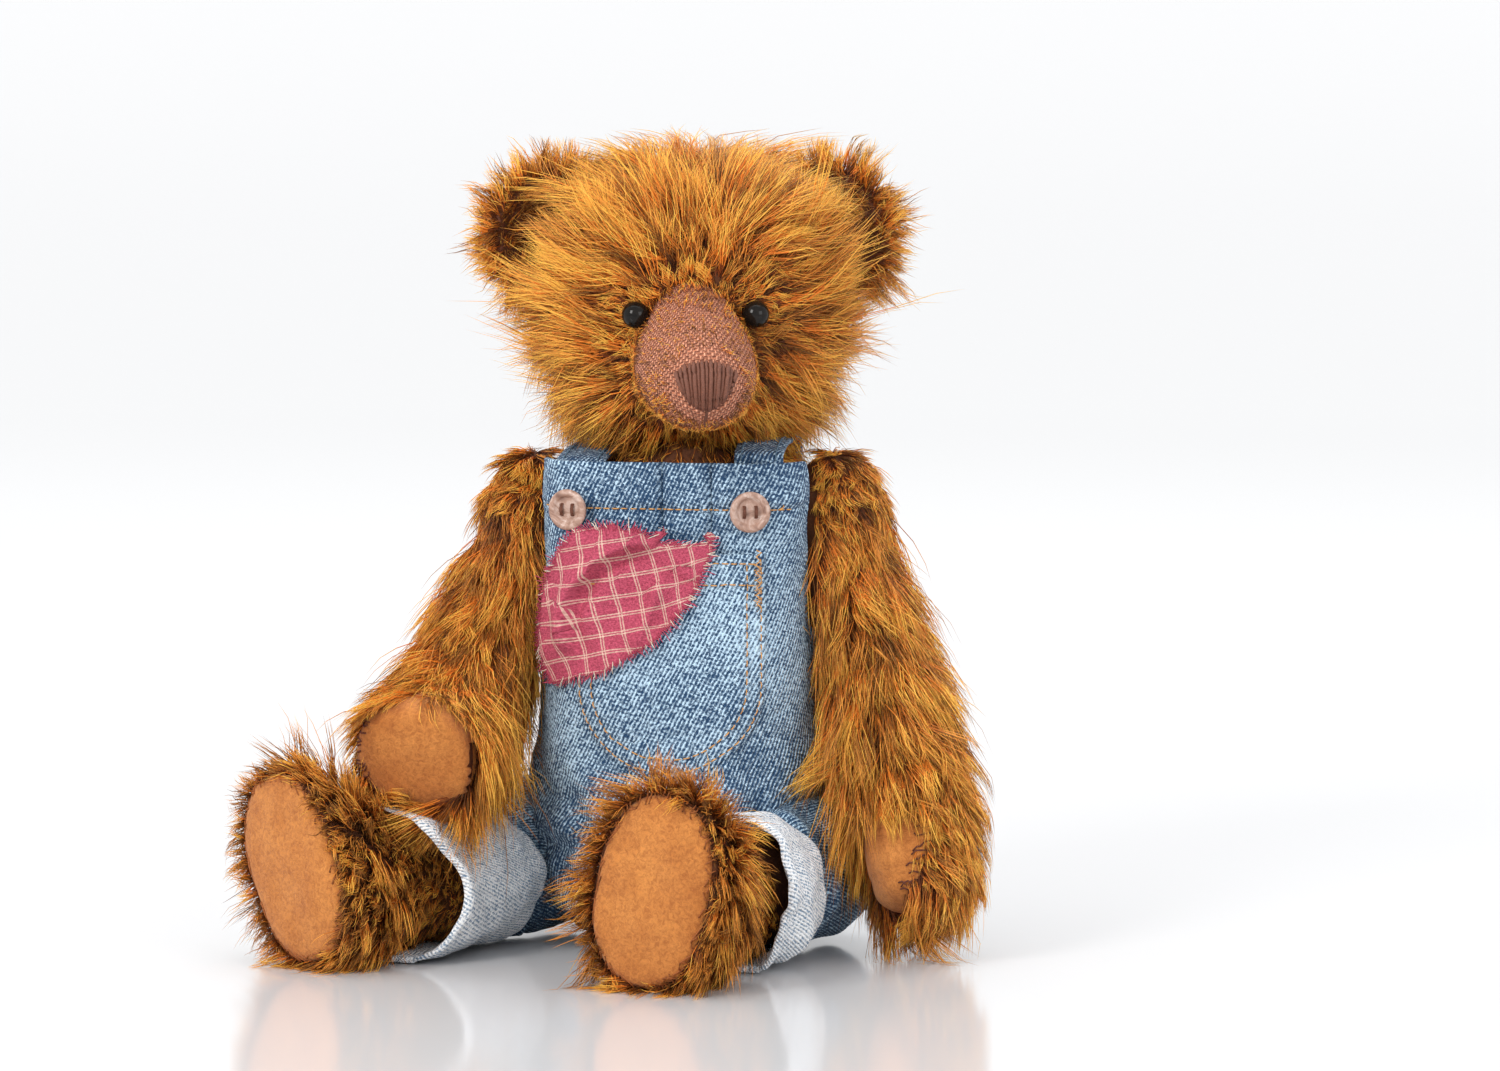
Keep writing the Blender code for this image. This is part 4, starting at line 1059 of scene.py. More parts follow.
def head_pile(rng):
    """The head's long pile, brushed away from the muzzle, shorter round the face and the ears."""
    p, n, _ = sample(head_surface(), HEAD_STRANDS, rng)
    sideways, forward, up = on_head(p)
    eye_gap = nearest_gap(p, EYES.values())
    level = muzzle_level(p)
    ear_gap = nearest_gap(p, [ear_frame(side)[0] for side in SIDE_WORDS])
    keep = (eye_gap > 4.4) & (level > 0.97) & (up > 150)
    p, n, sideways, forward, up, eye_gap, level, ear_gap = (
        v[keep] for v in (p, n, sideways, forward, up, eye_gap, level, ear_gap))
    back = smoothstep(-forward, -12, 26)[:, None]
    away = unit(p - head_point(0, 44, 172))
    parting = smoothstep(np.abs(sideways), 2, 24)[:, None]
    side_way = head_direction(1, 0, 0) * np.sign(sideways)[:, None] * parting
    flow = away + 0.55 * side_way + back * (-UP * 1.6 - away * 0.7)
    low = smoothstep(172 - up, 0, 18)[:, None]
    flow = along_skin(flow + low * (-UP * 0.9 + side_way * 0.3), n)
    near_muzzle = smoothstep(level, 0.95, 1.5)
    near_eye = smoothstep(eye_gap, 4, 14)
    length = (5.0 + 14.5 * np.minimum(near_muzzle, near_eye)) * MM
    length *= 1 - 0.22 * smoothstep(np.abs(sideways), 26, 38) * smoothstep(178 - up, 0, 14)
    length *= 1 - 0.25 * smoothstep(160 - up, 0, 10)
    length *= 0.30 + 0.70 * smoothstep(ear_gap, 13, 27)
    lift = 0.18 + 0.12 * np.minimum(near_muzzle, near_eye)
    lift *= 1 - 0.45 * smoothstep(up, 203, 218)
    droop = 0.10 + 0.25 * smoothstep(200 - up, 0, 30)
    pile("head_mohair", "head", p, n, flow, length, lift, droop, rng, shade_bias=0.25)


def ear_pile(side, word, rng):
    """Long pile on an ear's back and rim, short and sparse pile in its hollow."""
    centre, _, up, ahead = ear_frame(side)
    p, n, _ = sample(ear_surface(side), EAR_STRANDS, rng)
    radial = p - centre - ahead * ((p - centre) @ ahead)[:, None]
    radius = np.linalg.norm(radial, axis=1) / MM
    inside = (n @ ahead > 0.25) & (radius < EAR_CUP)
    keep = (radius > 1.5) & (~inside | (rng.random(len(p)) < 0.4))
    p, n, radial, radius, inside = p[keep], n[keep], radial[keep], radius[keep], inside[keep]
    flow = unit(radial)
    flow = np.where(inside[:, None], unit(flow * 0.5 + up * 0.6), flow)
    flow = unit(flow - n * (flow * n).sum(1, keepdims=True) * 0.7)
    length = np.where(inside, 4.0, 9.5) * MM
    lift = np.where(inside, 0.1, 0.34)
    droop = np.where(inside, 0.0, 0.10)
    # the cup's pile is darker: partly its own darker hair, partly painted shade inside the hollow
    for part, chosen, bias in (("rim", ~inside, 0.1), ("cup", inside, -1.4)):
        pile(f"ear_{part}_mohair_{word}", "head", p[chosen], n[chosen], flow[chosen], length[chosen],
             lift[chosen], droop[chosen], rng, shade_bias=bias, per_lock=12)


def eye(side, word):
    """A polished glass ball."""
    centre = EYES[side]
    rows, pole = 24, 0.02                  # the first and last rings stand a little off the poles
    rings = []
    ahead = head_direction(side * 0.35, 1, 0.05)
    across = unit(np.cross(ahead, UP))
    up = np.cross(across, ahead)
    for k in range(rows + 1):
        angle = math.pi * (k + pole) / (rows + 2 * pole)
        r = max(math.sin(angle), 0.01) * EYE_R * MM
        rings.append(ring(centre - ahead * math.cos(angle) * EYE_R * MM, across, up, r, r, 2, 40))
    surface = facing_out(Surface(np.array(rings)))
    made = surface_object(f"eye_glass_{word}", surface, GLASS)
    close_ends(made, surface)
    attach(made, "head")
    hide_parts(f"eye_{word}")


def nose(rng):
    """Upright satin stitches over a padded block, and the short stitch under it."""
    tree = muzzle_surface().tree()
    ahead = head_direction(0, 1, 0)

    def on_muzzle(sideways, z, proud):
        start = head_point(sideways, 90, z)
        hit, normal, _, _ = tree.ray_cast(Vector(start), Vector(-ahead))
        if hit is None:
            hit, normal, _, _ = tree.find_nearest(Vector(head_point(sideways, 60, z)))
        return np.array(hit) + np.array(normal) * proud * MM

    paths = []
    for k in range(NOSE_COLUMNS):
        x = -NOSE_HALF + 2 * NOSE_HALF * k / (NOSE_COLUMNS - 1) + rng.normal(0, 0.06)
        fade = math.sqrt(max(1 - (x / (NOSE_HALF + 0.9)) ** 2, 0))
        high, low = NOSE_MIDDLE[0] + NOSE_RISE * fade ** 0.9, NOSE_MIDDLE[1] - NOSE_DROP * fade ** 1.2
        line = []
        for t in np.linspace(0, 1, 12):
            z = high + (low - high) * t
            arch = math.sin(math.pi * min(max(t, 0.02), 0.98)) ** 0.6
            puff = NOSE_PUFF * fade * arch - NOSE_GROOVE * (k % 2)
            line.append(on_muzzle(x * (1 - NOSE_TAPER * t), z, 0.1 + puff))
        paths.append(line)
    threads("nose_satin_stitch", paths, NOSE_THREAD_R, NOSE_THREAD, "brown_thread", "head", "nose_stitching")
    mouth = [on_muzzle(0.15 * math.sin(7 * t), MOUTH_TOP - MOUTH_LENGTH * t, 0.3)
             for t in np.linspace(0, 1, 8)]
    threads("mouth_line_stitch", [mouth], MOUTH_THREAD_R, BROWN_THREAD, "brown_thread", "head",
            "mouth_stitch")


def head(rng):
    skin("head_backing", head_surface(), BACKING, "mohair", "head", "head_cover", "head_stuffing")
    bare = facing_out(muzzle_surface(0.3))
    cloth = skin("muzzle_bare_cloth", bare, MUZZLE_CLOTH, "muzzle_cloth", "head", "muzzle_cover",
                 "muzzle_stuffing")
    map_points(cloth, muzzle_weave_map(bare))
    for side, word in BEAR_SIDES:
        skin(f"ear_backing_{word}", ear_surface(side), EAR_BACKING, "mohair", "head", f"ear_{word}")
        ear_pile(side, word, rng)
        eye(side, word)
    nose(rng)
    head_pile(rng)
    muzzle_fuzz(bare, rng)


def muzzle_weave_map(surface):
    """Upright and level threads over the muzzle's front that run on over its sides, in metres."""
    sideways, forward, up = on_head(surface.points)
    back = 0.6 * (MUZZLE[-1][0] - forward)
    across = sideways + np.tanh(sideways / 8) * back
    rise = up + np.tanh((up - MUZZLE[-1][1]) / 8) * back
    return np.stack([across, rise], -1) * MM


def muzzle_fuzz(surface, rng):
    """The few short fibres left standing on the bare muzzle."""
    p, n, along = sample(surface, MUZZLE_STRANDS, rng)
    _, forward, up = on_head(p)
    near_nose = np.linalg.norm(p - NOSE_PLACE, axis=1) / MM
    near_base = smoothstep(48 - forward, 0, 14)
    thin = rng.random(len(p)) < 0.25 + 0.6 * np.maximum(smoothstep(172 - up, 0, 14), near_base)
    keep = (near_nose > 10) & (forward > 26) & thin
    p, n, along, near_base = p[keep], n[keep], along[keep], near_base[keep]
    flow = along_skin(unit(-along - 0.2 * UP), n)
    pile("muzzle_fuzz", "head", p, n, flow, (1.7 + 3.4 * near_base) * MM, 0.3, 0.2, rng,
         gather=0.2, radius=0.09 * MM, curl=0.2)


# ---- body ---------------------------------------------------------------------------------
def column_level(points, rows, grow=0.0):
    """Below 1 inside an upright body."""
    points = np.asarray(points) / MM
    table = through(rows, 8)
    wide, deep, power = (np.interp(points[..., 2], table[:, 0], table[:, k]) for k in (1, 2, 3))
    across, ahead = np.abs(points[..., 0]), np.abs(points[..., 1])
    level = (across / (wide + grow)) ** power + (ahead / (deep + grow)) ** power
    return np.where((points[..., 2] > rows[0][0]) & (points[..., 2] < rows[-1][0]), level, 9.0)


def torso(rng):
    """The torso's cover, with pile only where the dungarees leave it open."""
    surface = facing_out(column(TORSO, low_cap=1.2 * MM, high_cap=0.4 * MM))
    skin("torso_backing", surface, BACKING, "mohair", "torso", "torso_cover", "torso_stuffing")
    p, n, _ = sample(surface, TORSO_STRANDS, rng)
    x, y, z = (p / MM).T
    open_side = (z > 91.5) & (np.abs(y) < 22)
    above_back = (z > 120) & (y > 0)
    top = z > 137
    under_strap = np.abs(np.abs(x) - 25) < 7.5
    keep = open_side | ((above_back | top) & ~under_strap)
    p, n, z = p[keep], n[keep], z[keep]
    flow = along_skin(unit(-UP + (p - [0, 0, p[:, 2].mean()]) * [6, 6, 0]), n)
    length = (7.5 - 2 * smoothstep(z, 138, 146)) * MM
    pile("torso_mohair", "torso", p, n, flow, length, 0.3, 0.3, rng)


# ---- dungarees ----------------------------------------------------------------------------
BIB_TOP, BACK_TOP, ARMHOLE = 142, 118, 92                   # heights of the body denim's edge, mm
DENIM_LOW, DENIM_HIGH, DENIM_STEP = 0.4, 145.5, 0.5         # heights of the garment's rings, mm
DENIM_COLUMNS = 288
CROTCH = np.array([0.002, -0.042, 0.020])                   # where the lap's folds fan out from
HEM_LINE = 129.4                                            # height of the bib's hem, mm
TUCKS, TUCK_WIDTH, TUCK_DEPTH = (-1.6, 12.3), 0.9, 2.9      # the two upright tucks in the bib, mm
HEM_STITCHES, HEM_END = [(-36.5, 128.6), (35.5, 128.6)], [(33.5, 130.4), (31, 127.6)]   # (x, z), mm
FLY_STITCHES = [[(x, 50), (x, 24)] for x in (1.0, 2.2)]
POCKET_HALF, POCKET_TOP, POCKET_STRAIGHT, POCKET_LOW = 27, 116, 78, 52      # half width and heights, mm
POCKET_MIDDLE = 1.0                                         # how far it is to the bear's left, mm
POCKET_INSETS, POCKET_ROWS = (1.6, 5.2), (113.2, 107.0)     # its stitching: from the edge, and heights, mm
BAR_TACK = ((99.5, 117.5, 0.5), (101, 113, 1.0))            # low end, high end and half width, mm
BAR_TACK_X, BAR_TACK_TURNS = 25.6, 17
HANKY_SPACING = 0.55                                        # of its points and of its frayed threads, mm
HANKY_X, HANKY_Z = (-37.3, 15.5), (76, 126)                 # mm
HANKY_LEAN = math.radians(-14)
HANKY_EDGE = [(-25.3, 122.5), (-19, 123.6), (-7.4, 123), (-2.2, 119.4), (7.1, 118.6), (14.3, 121.1),
              (12.3, 113.9), (7.1, 102.3), (-3.1, 90.7), (-16.1, 81.5), (-32.8, 77.7), (-35.8, 87.8),
              (-35.8, 99.4), (-34, 108), (-29.1, 116.7)]
CREAM_SHARE = 0.16                                          # of the frayed threads
STRAP_ROUTE = [(26, -30.5, 141.5), (25.8, -29, 144.2), (25.5, -22, 145.6), (25.5, -11, 146.6),
               (25.5, 4, 146.6), (25, 16, 143.9), (24, 24.8, 136.4), (22, 30.3, 125.2),
               (20.5, 34.6, 117), (20.3, 35.4, 112)]
STRAP_HALF = 7.0                                            # half its width, mm
STRAP_DROP = {1: 0.0, -1: 3.0}                              # how much lower each strap's top is, mm
STRAP_STITCHED = (2, 12)                                    # the strap's columns, 0 to 14, that are stitched
BUTTON_R, BUTTON_THICK, BUTTON_HOLE, BUTTON_HOLE_R = 5.9, 2.4, 1.7, 0.95    # mm
BUTTON_TURN = math.radians(17)
BUTTON_THREADS, BUTTON_THREAD_GAP = 3, 0.28                 # threads in each stitch, and their spacing, mm
# (across, forward, up) from the button's middle, mm
LOOSE_THREAD = [(0, 0, -5), (0.6, -1.5, -7.5), (0.3, -2, -9), (-0.8, -2, -9.6), (-1.5, -2.2, -12)]


def fold_depth(p):
    """How far the body denim stands out or in at a place, in mm."""
    p = np.asarray(p)
    fan = p - CROTCH
    reach = np.linalg.norm(fan, axis=-1) / MM
    angle = np.arctan2(fan[..., 2], fan[..., 0])
    low = smoothstep(75 - p[..., 2] / MM, 0, 40)
    rays = np.sin(angle * 11 + 2.2 * waves(p, 30 * MM, 5)) * np.exp(-((reach - 28) / 22) ** 2) * 1.6
    soft = waves(p, 26 * MM, 11) * 0.9
    fine = creases(p, 15 * MM, 21) - 0.4
    x, z, front = p[..., 0] / MM, p[..., 2] / MM, p[..., 1] < 0
    high = smoothstep(z, 60, 100)
    band = smoothstep(z, HEM_LINE, HEM_LINE + 0.8) * front
    tuck = sum(np.exp(-((x - place) / TUCK_WIDTH) ** 2) for place in TUCKS)
    pleat = 0.7 * smoothstep(x, TUCKS[0], TUCKS[0] + 1) * smoothstep(TUCKS[1] - x, 0, 1)
    upper = smoothstep(z, 117, 124) * front
    cling = 2.2 * np.exp(-((z - 34 - 0.12 * x) / 3.2) ** 2) * smoothstep(np.abs(x), 8, 30) * front
    return (soft * (1 - 0.3 * high) + fine * (0.35 + 0.85 * low) + rays * low * front + band
            + (pleat - TUCK_DEPTH * tuck) * upper - cling)


def even_ring(wide, deep, power, count):
    """A superellipse's points spread evenly by length, starting at +X."""
    x, y = superellipse(wide, deep, power, 2000)
    x, y = np.append(x, x[0]), np.append(y, y[0])
    along = np.concatenate([[0], np.cumsum(np.hypot(np.diff(x), np.diff(y)))])
    at = along[-1] * np.arange(count) / count
    return np.stack([np.interp(at, along, x), np.interp(at, along, y)], -1)


class Garment:
    """The dungarees' body: rings of evenly spread points, one for each step of height."""

    def __init__(self):
        table = through(DUNGAREES, 8)
        self.heights = np.arange(DENIM_LOW, DENIM_HIGH, DENIM_STEP)
        rows = np.stack([np.interp(self.heights, table[:, 0], table[:, k]) for k in (1, 2, 3)], -1)
        outline = np.array([even_ring(w, d, n, DENIM_COLUMNS) for w, d, n in rows])
        z = np.broadcast_to(self.heights[:, None, None], outline.shape[:2] + (1,))
        base = Surface(np.concatenate([outline, z], -1) * MM)
        self.surface = base.grown(fold_depth(base.points) * MM)
        self.normals = self.surface.normals()

    def at(self, column, z, out=0.0):
        """A place on the cloth, by column number and height in mm."""
        column = np.asarray(column, float) % DENIM_COLUMNS
        z = np.asarray(z, float)
        row = np.clip((z - self.heights[0]) / DENIM_STEP, 0, len(self.heights) - 1.001)
        i, j = np.floor(row).astype(int), np.floor(column).astype(int)
        s, t = (row - i)[..., None], (column - j)[..., None]
        k = (j + 1) % DENIM_COLUMNS

        def mix(grid):
            low = grid[i, j] * (1 - t) + grid[i, k] * t
            high = grid[i + 1, j] * (1 - t) + grid[i + 1, k] * t
            return low * (1 - s) + high * s

        normal = unit(mix(self.normals))
        return mix(self.surface.points) + normal * np.asarray(out, float)[..., None] * MM, normal

    def column_of(self, x, z):
        """The column at a sideways place in mm on the front."""
        x, z = np.broadcast_arrays(np.asarray(x, float), np.asarray(z, float))
        row = np.clip(np.rint((z - self.heights[0]) / DENIM_STEP).astype(int), 0, len(self.heights) - 1)
        low, high = DENIM_COLUMNS // 2, DENIM_COLUMNS
        front_x = self.surface.points[:, low:high, 0] / MM
        made = np.empty(x.shape)
        for spot in np.ndindex(x.shape):
            made[spot] = low + np.interp(x[spot], front_x[row[spot]], np.arange(high - low))
        return made

    def place(self, x, z, out=0.0):
        """A place on the front of the cloth, by x and z in mm."""
        return self.at(self.column_of(x, z), z, out)


GARMENT = Garment()


def body_denim():
    """Bib, hips and back panel as one cloth, cut away under the arms."""
    reference = GARMENT.surface.points[int(100 / DENIM_STEP)]
    y = reference[:, 1] / MM
    bib, back = smoothstep(-y, 11, 23), smoothstep(y, 9, 21)
    top = ARMHOLE + (BIB_TOP - ARMHOLE) * bib + (BACK_TOP - ARMHOLE) * back
    rows, hem = 165, 0.5
    columns = np.arange(DENIM_COLUMNS)
    levels = [hem + (top - hem) * v for v in np.linspace(0, 1, rows)]
    grid = [GARMENT.at(columns, level)[0] for level in levels]
    bottom = grid[0]
    middle = bottom.mean(0)
    base = [middle + (bottom - middle) * k for k in (0.01, 0.3, 0.6, 0.85)]
    points = np.array(base + grid)
    points[..., 2] = np.maximum(points[..., 2], FLOOR_CLEAR)
    around = columns * np.linalg.norm(np.diff(reference, axis=0), axis=1).mean()
    heights = np.concatenate([np.zeros((len(base), DENIM_COLUMNS)), np.array(levels) * MM])
    uv = np.stack([np.broadcast_to(around, heights.shape), heights], -1)
    cloth_piece("dungarees_denim", Surface(points), DENIM, "torso", 1.1, uv=uv,
                nodes=["dungarees_body"])


def body_stitches(rng):
    """The bib's hem row and the seam at the fly in gold thread."""
    lines = []
    for path, out in [(HEM_STITCHES, 0.25), (HEM_END, 0.3)] + [(path, 0.3) for path in FLY_STITCHES]:
        xz = np.array(path, float)
        along = run_length(xz)
        at = np.linspace(0, along[-1], max(int(along[-1]), 8))
        place, normal = GARMENT.place(np.interp(at, along, xz[:, 0]), np.interp(at, along, xz[:, 1]), out)
        lines.extend(stitches(place, normal, rng))
    threads("body_gold_stitching", lines, 0.20 * MM, GOLD_THREAD, "brown_thread", "torso")


def pocket_half_width(z):
    """Half the pocket's width at a height, in mm."""
    drop = np.clip((POCKET_STRAIGHT - z) / (POCKET_STRAIGHT - POCKET_LOW), 0, 1)
    return POCKET_HALF * np.sqrt(np.clip(1 - drop ** 2, 0, 1))


def pocket(rng):
    """The U-shaped bib pocket, its rows of stitching and the zigzag bar tack at its corner."""
    rows, cols = 90, 70
    z = POCKET_TOP - (POCKET_TOP - POCKET_LOW - 0.05) * np.linspace(0, 1, rows) ** 0.9
    u = np.linspace(-1, 1, cols)
    half = pocket_half_width(z)
    x = half[:, None] * u[None] + POCKET_MIDDLE
    zz = np.broadcast_to(z[:, None], x.shape)
    edge = (1 - np.abs(u)[None] ** 6) * smoothstep(z - POCKET_LOW, 0, 8)[:, None]
    gape = smoothstep(z, POCKET_TOP - 14, POCKET_TOP)[:, None] * (1 - np.abs(u)[None] ** 4) * 0.9
    out = 0.55 + edge * 0.9 + gape
    place, _ = GARMENT.place(x, zz, out)
    surface = Surface(place[::-1], closed=False)
    uv = np.stack([x, zz], -1)[::-1] * MM + 0.4     # set apart from the body's own part of the map
    cloth_piece("pocket_denim", surface, DENIM, "torso", 0.9, uv=uv,
                nodes=["bib_pocket"])
    lines = []

    def line(x, z, out):
        place, normal = GARMENT.place(x + POCKET_MIDDLE, z, out)
        lines.extend(stitches(place, normal, rng))

    angle = np.linspace(0, math.pi, 50)
    leg_down = np.linspace(POCKET_TOP - 1, POCKET_STRAIGHT, 24)
    leg_up = np.linspace(POCKET_STRAIGHT, POCKET_TOP - 1, 24)
    for inset in POCKET_INSETS:
        half_row = POCKET_HALF - inset
        drop = POCKET_STRAIGHT - POCKET_LOW - inset
        xs = np.concatenate([np.full(24, -half_row), -half_row * np.cos(angle), np.full(24, half_row)])
        zs = np.concatenate([leg_down, POCKET_STRAIGHT - drop * np.sin(angle), leg_up])
        line(xs, zs, 1.5 + 0.03 * inset)
    for height in POCKET_ROWS:
        xs = np.linspace(-POCKET_HALF + 1.5, POCKET_HALF - 1.5, 50)
        line(xs, np.full(50, height), 2.1)
    threads("pocket_gold_stitching", lines, 0.19 * MM, GOLD_THREAD, "brown_thread", "torso")
    bars = []
    for low, high, wide in BAR_TACK:
        zs = np.linspace(high, low, BAR_TACK_TURNS)
        zigzag = np.where(np.arange(BAR_TACK_TURNS) % 2, 1, -1)
        sway = wide * zigzag + rng.normal(0, 0.15, BAR_TACK_TURNS)
        place, _ = GARMENT.place(BAR_TACK_X + sway, zs, 2.2 + 0.3 * wide)
        bars.append(place)
    threads("pocket_bar_tack", bars, 0.24 * MM, GOLD_THREAD, "brown_thread", "torso")


def inside_outline(x, z, outline):
    """Whether points are inside a closed outline of (x, z) pairs."""
    inside = np.zeros(np.shape(x), bool)
    for (ax, az), (bx, bz) in zip(outline, outline[1:] + outline[:1]):
        crosses = (az > z) != (bz > z)
        slope = (bx - ax) / ((bz - az) or 1e-9)
        inside ^= crosses & (x < ax + slope * (z - az))
    return inside


def hanky_out(x, z):
    """How far the handkerchief stands off the bib, in mm: soft folds running down from its top."""
    reach = np.hypot(x + 5, z - 96)
    turn = np.degrees(np.arctan2(z - 96, x + 5)) % 360
    along = smoothstep(turn, 78, 105) * smoothstep(215 - turn, 0, 30)
    steep = np.where(reach > 22, 3.4, 1.1)
    fold = (4.6 * np.exp(-((reach - 22) / steep) ** 2) - 1.4 * np.exp(-((reach - 19) / 1.4) ** 2)) * along
    fold -= 1.5 * np.exp(-(((x - 3.5) / 4.5) ** 2 + ((z - 109 + 0.5 * (x - 3.5)) / 1.2) ** 2))
    ridge = 1.8 * np.exp(-((x - z * 0.35 + 39) / 1.8) ** 2)
    fold += ridge * smoothstep(112 - z, 0, 8) * smoothstep(z, 84, 92)
    arch = 2.6 * np.exp(-(((x + 12) / 12) ** 2 + ((z - 119) / 3.0) ** 2))
    return 3.8 + fold + arch + 0.9 * waves(upright(x, z), 11 * MM, 41)


def handkerchief(rng):
    """A torn checked square pushed behind the button and into the pocket."""
    x, z = np.meshgrid(np.arange(*HANKY_X, HANKY_SPACING), np.arange(*HANKY_Z, HANKY_SPACING))
    place, _ = GARMENT.place(x, z, hanky_out(x, z))
    surface = Surface(place, closed=False)
    middle_x, middle_z = x[:-1, :-1] + HANKY_SPACING / 2, z[:-1, :-1] + HANKY_SPACING / 2
    ragged = waves(upright(middle_x, middle_z), 3 * MM, 51) * 0.5
    keep = inside_outline(middle_x + ragged, middle_z + ragged, HANKY_EDGE).ravel()
    warp = 1.6 * waves(upright(x, z), 26 * MM, 61)
    u = (x * math.cos(HANKY_LEAN) - z * math.sin(HANKY_LEAN) + warp) * MM
    v = (x * math.sin(HANKY_LEAN) + z * math.cos(HANKY_LEAN) - warp * 0.6) * MM
    cloth_piece("handkerchief_cloth", surface, CHECKED, "torso", 0.45,
                uv=np.stack([u, v], -1), keep=keep,
                nodes=["handkerchief"])
    hanky_fray(rng)


def hanky_fray(rng):
    """Loose threads all round the handkerchief's torn edge."""
    red, cream = [], []
    edge = np.array(HANKY_EDGE + HANKY_EDGE[:1], float)
    along = run_length(edge)
    centre = edge.mean(0)
    for at in np.arange(0, along[-1], HANKY_SPACING):
        spot = np.array([np.interp(at, along, edge[:, 0]), np.interp(at, along, edge[:, 1])])
        outward = unit(spot - centre) + rng.normal(0, 0.25, 2)
        long = rng.uniform(0.8, 2.3)
        steps = np.linspace(-1.0, long, 5)
        jitter = rng.normal(0, 0.12, (len(steps), 2)) * (steps > 0)[:, None]
        line = spot[None] + outward[None] * steps[:, None] + jitter
        place, _ = GARMENT.place(line[:, 0], line[:, 1], hanky_out(line[:, 0], line[:, 1]) + 0.15)
        (cream if rng.random() < CREAM_SHARE else red).append(place)
    threads("handkerchief_fray_red", red, 0.15 * MM, RED_THREAD, "checked_cotton", "torso", taper=0.4)
    threads("handkerchief_fray_cream", cream, 0.15 * MM, CREAM_THREAD, "checked_cotton", "torso", taper=0.4)


def strap(side, word, rng):
    """A denim strap over the shoulder, stitched along both edges."""
    route = through(STRAP_ROUTE, 7)
    route[:, 2] -= STRAP_DROP[side] * smoothstep(route[:, 2], 134, 145)
    route *= [side * MM, MM, MM]
    tangent = unit(np.gradient(route, axis=0))
    across = np.broadcast_to([1.0, 0, 0], route.shape)
    lift = unit(np.cross(across, tangent))
    lift *= np.where(lift[:, 2:] + lift[:, 1:2] * np.sign(route[:, 1:2]) < 0, -1, 1)
    u = np.linspace(-1, 1, 15)
    curl = -0.5 * u ** 2 + 0.25
    wave = waves(route, 16 * MM, 71 + side) * 0.4
    rise = lift[:, None] * ((curl[None] + wave[:, None]) * MM)[..., None]
    grid = route[:, None] + across[:, None] * (u * STRAP_HALF * MM)[None, :, None] + rise
    surface = Surface(grid, closed=False)
    cloth_piece(f"strap_denim_{word}", surface, DENIM, "torso", 1.2,
                nodes=[f"strap_{word}"], offset=0.0)
    lines = []
    for edge in STRAP_STITCHED:
        lines += stitches(grid[:, edge] + lift * 0.75 * MM, lift, rng)
    threads(f"strap_stitching_{word}", lines, 0.22 * MM, BLUE_THREAD, "brown_thread", "torso")


def button_profile():
    """A turned button's outline from its back to the middle of its dish: (depth, radius), mm."""
    r, t = BUTTON_R, BUTTON_THICK
    return [(0, 0.02), (0, r - 1.6), (0.25, r - 0.8), (0.9, r - 0.15), (1.6, r), (2.1, r - 0.25),
            (t, r - 0.8), (t, r - 1.3), (t - 0.35, r - 1.9), (t - 0.8, r - 2.4), (t - 0.95, r - 3.4),
            (t - 0.95, 0.02)]


def button(side, word):
    """A dished four-hole horn button sewn on with two upright stitches."""
    lean = BUTTON_TURN * side
    outward = np.array([math.sin(lean), -math.cos(lean), 0])
    across = np.array([math.cos(lean), math.sin(lean), 0])
    back = np.array([side * 26 - 2.2, -34.9, 128.3]) * MM
    rings = []
    for depth, radius in through(button_profile(), 4):
        r = max(radius, 0.01) * MM
        rings.append(ring(back + outward * depth * MM, across, UP, r, r, 2, 64))
    surface = facing_out(Surface(np.array(rings)))
    made = surface_object(f"button_horn_{word}", surface, HORN)
    close_ends(made, surface)
    cutters = []
    for a, b in ((1, 1), (1, -1), (-1, 1), (-1, -1)):
        start = back + (across * a + UP * b) * BUTTON_HOLE * MM
        cutters.append(tube([start - outward * MM, start + outward * 4 * MM], BUTTON_HOLE_R * MM, 20))
    vertices, faces = joined(cutters)
    cutter = mesh_from(f"button_holes_{word}", vertices, faces)
    cut = made.modifiers.new("holes", "BOOLEAN")
    cut.operation = "DIFFERENCE"
    cut.solver = "EXACT"
    cut.object = cutter
    bake_modifiers(made)
    bpy.data.objects.remove(cutter)
    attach(made, "torso")
    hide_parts(f"button_{word}")
    paths = []
    arch = [(-1, 0.2), (-1, 1.2), (-0.9, 1.9), (-0.3, 2.25), (0.3, 2.25), (0.9, 1.9), (1, 1.2), (1, 0.2)]
    for a in (-1, 1):
        for k in range(BUTTON_THREADS):
            x = a * BUTTON_HOLE + BUTTON_THREAD_GAP * (k - 1)
            proud = 0.1 * (k == 1)
            paths.append([back + across * x * MM + UP * z * BUTTON_HOLE * MM + outward * (d + proud) * MM
                          for z, d in arch])
    threads(f"button_sewing_{word}", paths, 0.24 * MM, BROWN_THREAD, "brown_thread", "torso",
            f"button_thread_{word}")
    if side < 0:
        tail = through(LOOSE_THREAD, 4)
        loose = [back + (across * a + UP * c) * MM + outward * (0.6 - 0.25 * b) * MM for a, b, c in tail]
        threads("button_loose_thread", [loose], 0.2 * MM, BROWN_THREAD, "brown_thread", "torso")


